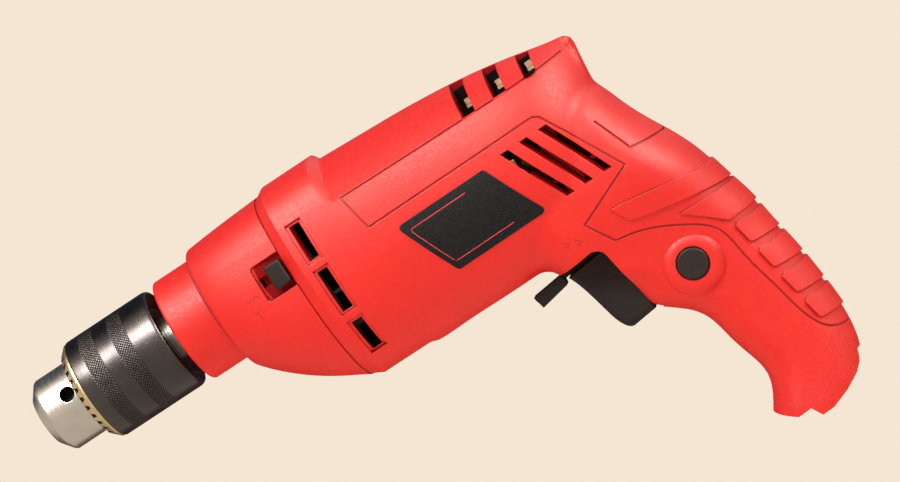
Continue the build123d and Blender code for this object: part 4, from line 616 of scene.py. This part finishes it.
def ribbon(points, half, lift, tree=LEFT_SIDE):
    """A maker of a thin raised strip that follows side-view points over a surface."""
    def make(bm):
        spots = []
        for p in resample(points, RIBBON_STEP):
            spot, normal = on_left(p.x, p.y, tree)
            if spot is not None:
                spots.append((spot, normal))
        rows = []
        for i, (spot, normal) in enumerate(spots):
            ahead = spots[min(i + 1, len(spots) - 1)][0] - spots[max(i - 1, 0)][0]
            side = ahead.cross(normal).normalized()
            rows.append([
                bm.verts.new(spot - side * half - normal * lift),
                bm.verts.new(spot - side * half * RIBBON_CROWN + normal * lift),
                bm.verts.new(spot + side * half * RIBBON_CROWN + normal * lift),
                bm.verts.new(spot + side * half - normal * lift),
            ])
        loft(bm, rows)
    return make


# Thin red line on the label plate: its path in shares of the plate's width and height
LABEL_CORNERS = (Vector((-94.2, -10.2)), Vector((-132.7, -9.8)),
                 Vector((-143.7, -35.6)), Vector((-104.4, -36.0)))
BORDER_PATH = ((0.70, 0.13), (0.085, 0.13), (0.06, 0.17), (0.06, 0.83), (0.075, 0.87), (0.72, 0.87))
BORDER_HALF, BORDER_LIFT = 0.24 * MM, 0.006 * MM


def label_point(s, t):
    front_top, rear_top, rear_low, front_low = LABEL_CORNERS
    p = front_top.lerp(rear_top, s).lerp(front_low.lerp(rear_low, s), t)
    return (p.x * MM, p.y * MM)


border = [label_point(s, t) for s, t in BORDER_PATH]
piece("label_border", ribbon(border, BORDER_HALF, BORDER_LIFT), border_red, "housing")

# Plain pictograms: a drill bit and a hammer beside the mode knob, two arrows by the direction lever
MARKS = (
    ("mark_bit", CASE_SIDE, ((-30.6, -3.4), (-31.6, -2.8), (-32.4, -4.0), (-33.2, -2.8), (-34.0, -4.0),
                             (-34.8, -2.8), (-36.6, -3.4))),
    ("mark_hammer_head", CASE_SIDE, ((-31.4, -8.6), (-33.6, -8.2))),
    ("mark_hammer_grip", CASE_SIDE, ((-32.6, -8.4), (-33.4, -12.2))),
    ("mark_arrow_left", LEFT_SIDE, ((-141.4, -49.0), (-143.4, -50.6), (-141.8, -51.6))),
    ("mark_arrow_right", LEFT_SIDE, ((-145.6, -50.2), (-147.4, -52.0), (-145.4, -53.0))),
)
MARK_HALF, MARK_LIFT = 0.17 * MM, 0.03 * MM
for mark, tree, path in MARKS:
    path = [(x * MM, z * MM) for x, z in path]
    piece(mark, ribbon(path, MARK_HALF, MARK_LIFT, tree), red_line, "housing")

# Folded brass strips seen through the roof vents, and behind them near-black sheets of painted shade, in mm
CLIP_FOLD = ((6.0, 3.0), (9.6, 3.0), (10.2, 0.9), (12.0, 0.5), (12.3, -0.3))
CLIP_HALF, CLIP_THICK, CLIP_SHIFT = 1.4, 0.4, 0.9
LINER_OUTER_Y, LINER_BEND_Y, LINER_RISE_Y, LINER_TOP_Y = 21.5, 6.4, 4.6, 4.0
LINER_FLOOR_Z, LINER_RISE = 9.7, 2.0
LINER_THICK, LINER_GAP = 0.35, 0.2


def folded_strip(x, half, fold, thick_y, thick_z):
    """A maker of a strip across X that is folded along side points (y, z)."""
    def make(bm):
        section = ((-half, 0, 0), (half, 0, 0), (half, thick_y, thick_z), (-half, thick_y, thick_z))
        rows = []
        for y, z in fold:
            rows.append([bm.verts.new(((x + dx) * MM, (y + dy) * MM, (z + dz) * MM))
                         for dx, dy, dz in section])
        loft(bm, rows)
    return make


for k, (vent_x, vent_half, liner_top, clip_z) in enumerate(ROOF_VENTS, 1):
    liner_fold = ((LINER_OUTER_Y, LINER_FLOOR_Z), (LINER_BEND_Y, LINER_FLOOR_Z),
                  (LINER_RISE_Y, LINER_FLOOR_Z + LINER_RISE), (LINER_TOP_Y, liner_top))
    liner = folded_strip(vent_x, vent_half - LINER_GAP, liner_fold, LINER_THICK, LINER_THICK)
    piece("vent_liner_%d" % k, liner, vent_shade_black, "housing")
    clip_fold = [(y, clip_z + rise) for y, rise in CLIP_FOLD]
    clip = folded_strip(vent_x - CLIP_SHIFT, CLIP_HALF, clip_fold, 0, CLIP_THICK)
    piece("vent_clip_%d" % k, clip, clip_brass, "housing")

# Webs of painted shade on the parting plane, clear of the motor, that close the view from one side's slots
# to the other's
MOTOR_WEB = ((-147.5, -4.4), (-147.5, -13.4), (-152.7, -13.4), (-152.7, -6.7), (-160.3, -6.7),
             (-160.3, -29.3), (-152.7, -29.3), (-152.7, -22.6), (-147.5, -22.6), (-147.5, -30.1),
             (-134.0, -30.1), (-134.0, -42.0), (-150.0, -44.0), (-172.0, -44.0), (-176.0, -36.0),
             (-177.5, -12.0), (-176.0, -4.4))
FAN_WEB = ((-66.5, 9.5), (-58.0, 9.5), (-58.0, 18.0), (-60.0, 20.0), (-64.5, 20.0), (-66.5, 18.0))
WEB_HALF = 0.8


def web_mesh(rim):
    def make(bm):
        near, far = ([bm.verts.new((x * MM, y * MM, z * MM)) for x, z in rim] for y in (WEB_HALF, -WEB_HALF))
        bm.faces.new(near)
        bm.faces.new(far[::-1])
        for k in range(len(rim)):
            n = (k + 1) % len(rim)
            bm.faces.new((near[k], far[k], far[n], near[n]))
    return make


piece("motor_web", web_mesh(MOTOR_WEB), painted_shade_red, "housing")
piece("fan_web", web_mesh(FAN_WEB), painted_shade_red, "housing")

# Thin skins over the two places where a screw bore comes through the left wall: centre and direction, in mm
BORE_SLITS = ((-72.0, -51.27, Vector((1.0, 0.0))), (-174.3, -104.0, Vector((0.5, 0.866))))
SKIN_STEP, SKIN_STEPS = 0.4, 10
SKIN_ACROSS = (-0.95, -0.7, -0.5, 0.5, 0.7, 0.95)
SKIN_LIFT, SKIN_RIM_LIFT = 0.04, -0.03
SKIN_SMOOTH = math.radians(60)


def skin_mesh(x, z, along):
    def make(bm):
        rows = []
        for i in range(SKIN_STEPS + 1):
            u = (i - SKIN_STEPS / 2) * SKIN_STEP
            row = []
            for v in SKIN_ACROSS:
                spot_x, spot_z = x + u * along.x - v * along.y, z + u * along.y + v * along.x
                spot, normal = on_left(spot_x * MM, spot_z * MM)
                on_rim = i in (0, SKIN_STEPS) or v in (SKIN_ACROSS[0], SKIN_ACROSS[-1])
                lift = SKIN_RIM_LIFT if on_rim else SKIN_LIFT
                row.append(bm.verts.new(spot + normal * lift * MM))
            rows.append(row)
        loft(bm, rows, around=False, capped=False)
    return make


for k, slit in enumerate(BORE_SLITS, 1):
    piece("wall_skin_%d" % k, skin_mesh(*slit), red_plastic, "housing", SKIN_SMOOTH)

# Dark line of painted shade in the corner between the clamping collar and the gear case
SEAM_X, SEAM_R = -16.78 * MM, 21.5 * MM
SEAM_HALF_WIDE, SEAM_HALF_HIGH = 0.40 * MM, 0.10 * MM
SEAM_STEPS, SEAM_SIDES = 160, 8
SEAM_SMOOTH = math.radians(60)


def corner_shade_mesh(bm):
    rows = []
    for k in range(SEAM_STEPS):
        turn = 2 * math.pi * k / SEAM_STEPS
        row = []
        for n in range(SEAM_SIDES):
            roll = 2 * math.pi * n / SEAM_SIDES
            reach = SEAM_R + SEAM_HALF_HIGH * math.cos(roll)
            x = SEAM_X + SEAM_HALF_WIDE * math.sin(roll)
            row.append(bm.verts.new((x, reach * math.cos(turn), reach * math.sin(turn))))
        rows.append(row)
    loft(bm, rows + rows[:1], capped=False)


piece("collar_corner_shade", corner_shade_mesh, red_line, "housing", SEAM_SMOOTH)

# Rounded upper corner of the trigger mouth, outside the trigger's and the lever's path, in mm
MOUTH_TILT = math.radians(7.0)
MOUTH_X, MOUTH_Z = -150.0, -61.0
CORNER_U, CORNER_V, CORNER_R = -2.0, 3.5, 4.6
CORNER_STEPS = 12
CORNER_INNER_Y = 11.5
CORNER_SINK = 0.05
WALL_INSET = 0.5
CORNER_SMOOTH = math.radians(30)


def mouth_point(u, v):
    x = MOUTH_X + u * math.cos(MOUTH_TILT) + v * math.sin(MOUTH_TILT)
    z = MOUTH_Z - u * math.sin(MOUTH_TILT) + v * math.cos(MOUTH_TILT)
    return x * MM, z * MM


def wall_y(u, v):
    return on_left(*mouth_point(u, v))[0].y


def corner_mesh(side):
    def make(bm):
        at_corner = wall_y(CORNER_U - WALL_INSET, CORNER_V + WALL_INSET)
        along_top = wall_y(CORNER_U + CORNER_R, CORNER_V + WALL_INSET) - at_corner
        down_rear = wall_y(CORNER_U - WALL_INSET, CORNER_V - CORNER_R) - at_corner
        rim = [(0.0, 0.0)]
        for k in range(CORNER_STEPS + 1):
            a = math.radians(90 - 90 * k / CORNER_STEPS)
            rim.append((1 - math.cos(a), 1 - math.sin(a)))
        inner, outer = [], []
        for u, v in rim:
            x, z = mouth_point(CORNER_U + CORNER_R * u, CORNER_V - CORNER_R * v)
            reach = at_corner + along_top * u + down_rear * v - CORNER_SINK * MM
            inner.append(bm.verts.new((x, side * CORNER_INNER_Y * MM, z)))
            outer.append(bm.verts.new((x, side * reach, z)))
        loft(bm, [inner, outer], capped=False)
        for k in range(1, len(rim) - 1):
            bm.faces.new((outer[0], outer[k], outer[k + 1]))
            bm.faces.new((inner[0], inner[k + 1], inner[k]))
    return make


for label, side in (("left", 1), ("right", -1)):
    piece("mouth_corner_" + label, corner_mesh(side), red_plastic, "housing", CORNER_SMOOTH)

# Camera at the photograph's angle
TARGET = Vector((-0.10346, 0.0, -0.02682))
DISTANCE = 1.6
SENSOR_WIDTH, LENS = 36.0, 170.43
CLIP_NEAR, CLIP_FAR = 0.05, 60
YAW, PITCH, ROLL = math.radians(7.6), math.radians(3.0), math.radians(33.7)
back = Vector((-math.sin(YAW) * math.cos(PITCH), math.cos(YAW) * math.cos(PITCH), math.sin(PITCH)))
level_right = (-back).cross(Vector((0, 0, 1))).normalized()
level_up = level_right.cross(-back).normalized()
cam_right = level_right * math.cos(ROLL) - level_up * math.sin(ROLL)
cam_up = level_right * math.sin(ROLL) + level_up * math.cos(ROLL)
camera_data = bpy.data.cameras.new("camera")
camera_data.sensor_width = SENSOR_WIDTH
camera_data.lens = LENS
camera_data.clip_start, camera_data.clip_end = CLIP_NEAR, CLIP_FAR
camera = place_object("camera", camera_data)
camera.matrix_world = Matrix((
    (cam_right.x, cam_up.x, back.x, TARGET.x + back.x * DISTANCE),
    (cam_right.y, cam_up.y, back.y, TARGET.y + back.y * DISTANCE),
    (cam_right.z, cam_up.z, back.z, TARGET.z + back.z * DISTANCE),
    (0, 0, 0, 1),
))
scene.camera = camera


# Lights: a softbox is seen by surfaces, by reflections or by both
def softbox(name, direction, distance, size, watts, tint=(1, 1, 1), diffuse=True, glossy=True):
    data = bpy.data.lights.new(name, "AREA")
    data.shape = "RECTANGLE"
    data.size, data.size_y = size
    data.energy = watts
    data.color = tint
    obj = place_object(name, data)
    away = Vector(direction).normalized()
    obj.location = TARGET + away * distance
    obj.rotation_mode = "QUATERNION"
    obj.rotation_quaternion = (-away).to_track_quat("-Z", "Y")
    obj.visible_diffuse = diffuse
    obj.visible_glossy = glossy


softbox("key", (0.10, 0.66, 0.75), 1.5, (0.75, 0.42), 12.5)
softbox("sheen", (0.10, 0.62, 0.78), 1.45, (1.1, 0.6), 26.0, (1.0, 0.93, 0.80), diffuse=False)
softbox("front", (0.20, 1.0, -0.30), 1.9, (1.2, 1.0), 6.0, glossy=False)
softbox("rear", (-0.5, -0.8, 0.6), 1.8, (1.2, 0.8), 8.0)
softbox("grip_side", (-1.0, 0.30, 0.30), 1.8, (0.9, 0.9), 5.0, glossy=False)
softbox("tail_sheen", (-0.88, 0.26, 0.40), 1.4, (0.6, 0.6), 22.0, (1.0, 0.93, 0.82), diffuse=False)
softbox("low", (0.0, -0.6, -0.35), 1.8, (1.0, 0.6), 3.0, glossy=False)

# Dark cards that only reflections see: they give the round metal its dark upper edge
CARD_LEFT_X, CARD_RIGHT_X = -1.6, 1.4
CARD_BACK_Y, CARD_FRONT_Y = -1.0, -0.1
CARD_LOW_Z, CARD_MID_Z, CARD_TOP_Z = -1.4, 0.0, 1.5
CARD_CLOUDS = 2.0
COLD_SHADE = ((0.004, 0.006, 0.012), (0.05, 0.08, 0.14))
WARM_SHADE = ((0.04, 0.02, 0.015), (0.16, 0.09, 0.07))


def blank_tree(owner):
    owner.use_nodes = True
    owner.node_tree.nodes.clear()
    return owner.node_tree


def card_finish(name, low, high):
    mat = bpy.data.materials.new(name)
    tree = blank_tree(mat)
    link = tree.links.new
    out = add_node(tree, "ShaderNodeOutputMaterial")
    glow = add_node(tree, "ShaderNodeEmission")
    shade = add_node(tree, "ShaderNodeTexNoise", {"Scale": CARD_CLOUDS})
    tint = add_node(tree, "ShaderNodeValToRGB")
    tint.color_ramp.elements[0].color = (*low, 1)
    tint.color_ramp.elements[1].color = (*high, 1)
    link(shade.outputs["Fac"], tint.inputs["Fac"])
    link(tint.outputs["Color"], glow.inputs["Color"])
    link(glow.outputs[0], out.inputs["Surface"])
    return mat


def dark_card(name, first_edge, second_edge, shade):
    """A card between two edges (y, z) that run along X."""
    (y0, z0), (y1, z1) = first_edge, second_edge
    corners = [(CARD_LEFT_X, y0, z0), (CARD_RIGHT_X, y0, z0),
               (CARD_RIGHT_X, y1, z1), (CARD_LEFT_X, y1, z1)]
    mesh = bpy.data.meshes.new(name)
    mesh.from_pydata(corners, [], [tuple(range(len(corners)))])
    obj = place_object(name, mesh)
    mesh.materials.append(card_finish(name, *shade))
    obj.visible_camera = False
    obj.visible_diffuse = False
    obj.visible_transmission = False
    obj.visible_shadow = False


dark_card("card_behind", (CARD_BACK_Y, CARD_MID_Z), (CARD_BACK_Y, CARD_TOP_Z), COLD_SHADE)
dark_card("card_below", (CARD_BACK_Y, CARD_LOW_Z), (CARD_BACK_Y, CARD_MID_Z), WARM_SHADE)
dark_card("card_above", (CARD_BACK_Y, CARD_TOP_Z), (CARD_FRONT_Y, CARD_TOP_Z), COLD_SHADE)

# World: even light for surfaces, backdrop colour for what the camera and reflections see
EVEN_COLOUR, EVEN_STRENGTH = (1.0, 0.98, 0.95), 0.68
SEEN_STRENGTH = 1.0
MIRRORED_STRENGTH = 0.75


def paint_world():
    world = bpy.data.worlds.new("world")
    scene.world = world
    tree = blank_tree(world)
    link = tree.links.new

    def background(colour, strength):
        return add_node(tree, "ShaderNodeBackground", {"Color": (*colour, 1), "Strength": strength})

    out = add_node(tree, "ShaderNodeOutputWorld")
    even = background(EVEN_COLOUR, EVEN_STRENGTH)
    seen = background(BACKDROP, SEEN_STRENGTH)
    mirrored = background(BACKDROP, MIRRORED_STRENGTH)
    path = add_node(tree, "ShaderNodeLightPath")
    clear = add_node(tree, "ShaderNodeMath", operation="MAXIMUM")
    gloss = add_node(tree, "ShaderNodeMixShader")
    mix = add_node(tree, "ShaderNodeMixShader")
    link(path.outputs["Is Glossy Ray"], gloss.inputs["Fac"])
    link(even.outputs[0], gloss.inputs[1])
    link(mirrored.outputs[0], gloss.inputs[2])
    link(path.outputs["Is Camera Ray"], clear.inputs[0])
    link(path.outputs["Is Transmission Ray"], clear.inputs[1])
    link(clear.outputs[0], mix.inputs["Fac"])
    link(gloss.outputs[0], mix.inputs[1])
    link(seen.outputs[0], mix.inputs[2])
    link(mix.outputs[0], out.inputs["Surface"])


paint_world()

# Pale floor, out of the photograph's frame, that keeps a soft shadow under the tool
FLOOR_Z = -0.26
FLOOR_R = 14.0
FLOOR_SIDES = 96
SHADOW_INNER_R, SHADOW_OUTER_R = 0.08, 0.30
SHADOW_SHARE = 0.55


def floor_finish():
    mat = bpy.data.materials.new("floor_pale")
    tree = blank_tree(mat)
    link = tree.links.new
    out = add_node(tree, "ShaderNodeOutputMaterial")
    diffuse = add_node(tree, "ShaderNodeBsdfDiffuse", {"Color": (*BACKDROP, 1)})
    glow = add_node(tree, "ShaderNodeEmission", {"Color": (*BACKDROP, 1)})
    place = add_node(tree, "ShaderNodeTexCoord")
    far = add_node(tree, "ShaderNodeVectorMath", operation="LENGTH")
    link(place.outputs["Object"], far.inputs[0])
    near = add_node(tree, "ShaderNodeMapRange", {
        "From Min": SHADOW_INNER_R, "From Max": SHADOW_OUTER_R, "To Min": SHADOW_SHARE, "To Max": 0.0,
    }, interpolation_type="SMOOTHSTEP")
    link(far.outputs["Value"], near.inputs["Value"])
    path = add_node(tree, "ShaderNodeLightPath")
    soft = add_node(tree, "ShaderNodeMixShader")
    link(near.outputs["Result"], soft.inputs["Fac"])
    link(glow.outputs[0], soft.inputs[1])
    link(diffuse.outputs[0], soft.inputs[2])
    mix = add_node(tree, "ShaderNodeMixShader")
    link(path.outputs["Is Camera Ray"], mix.inputs["Fac"])
    link(diffuse.outputs[0], mix.inputs[1])
    link(soft.outputs[0], mix.inputs[2])
    link(mix.outputs[0], out.inputs["Surface"])
    return mat


floor_data = bpy.data.meshes.new("floor")
floor_bm = bmesh.new()
bmesh.ops.create_circle(floor_bm, cap_ends=True, radius=FLOOR_R, segments=FLOOR_SIDES)
floor_bm.to_mesh(floor_data)
floor_bm.free()
floor = place_object("floor", floor_data)
floor.location = (TARGET.x, 0, FLOOR_Z)
floor_data.materials.append(floor_finish())
floor.visible_glossy = False

scene.view_settings.view_transform = "Standard"
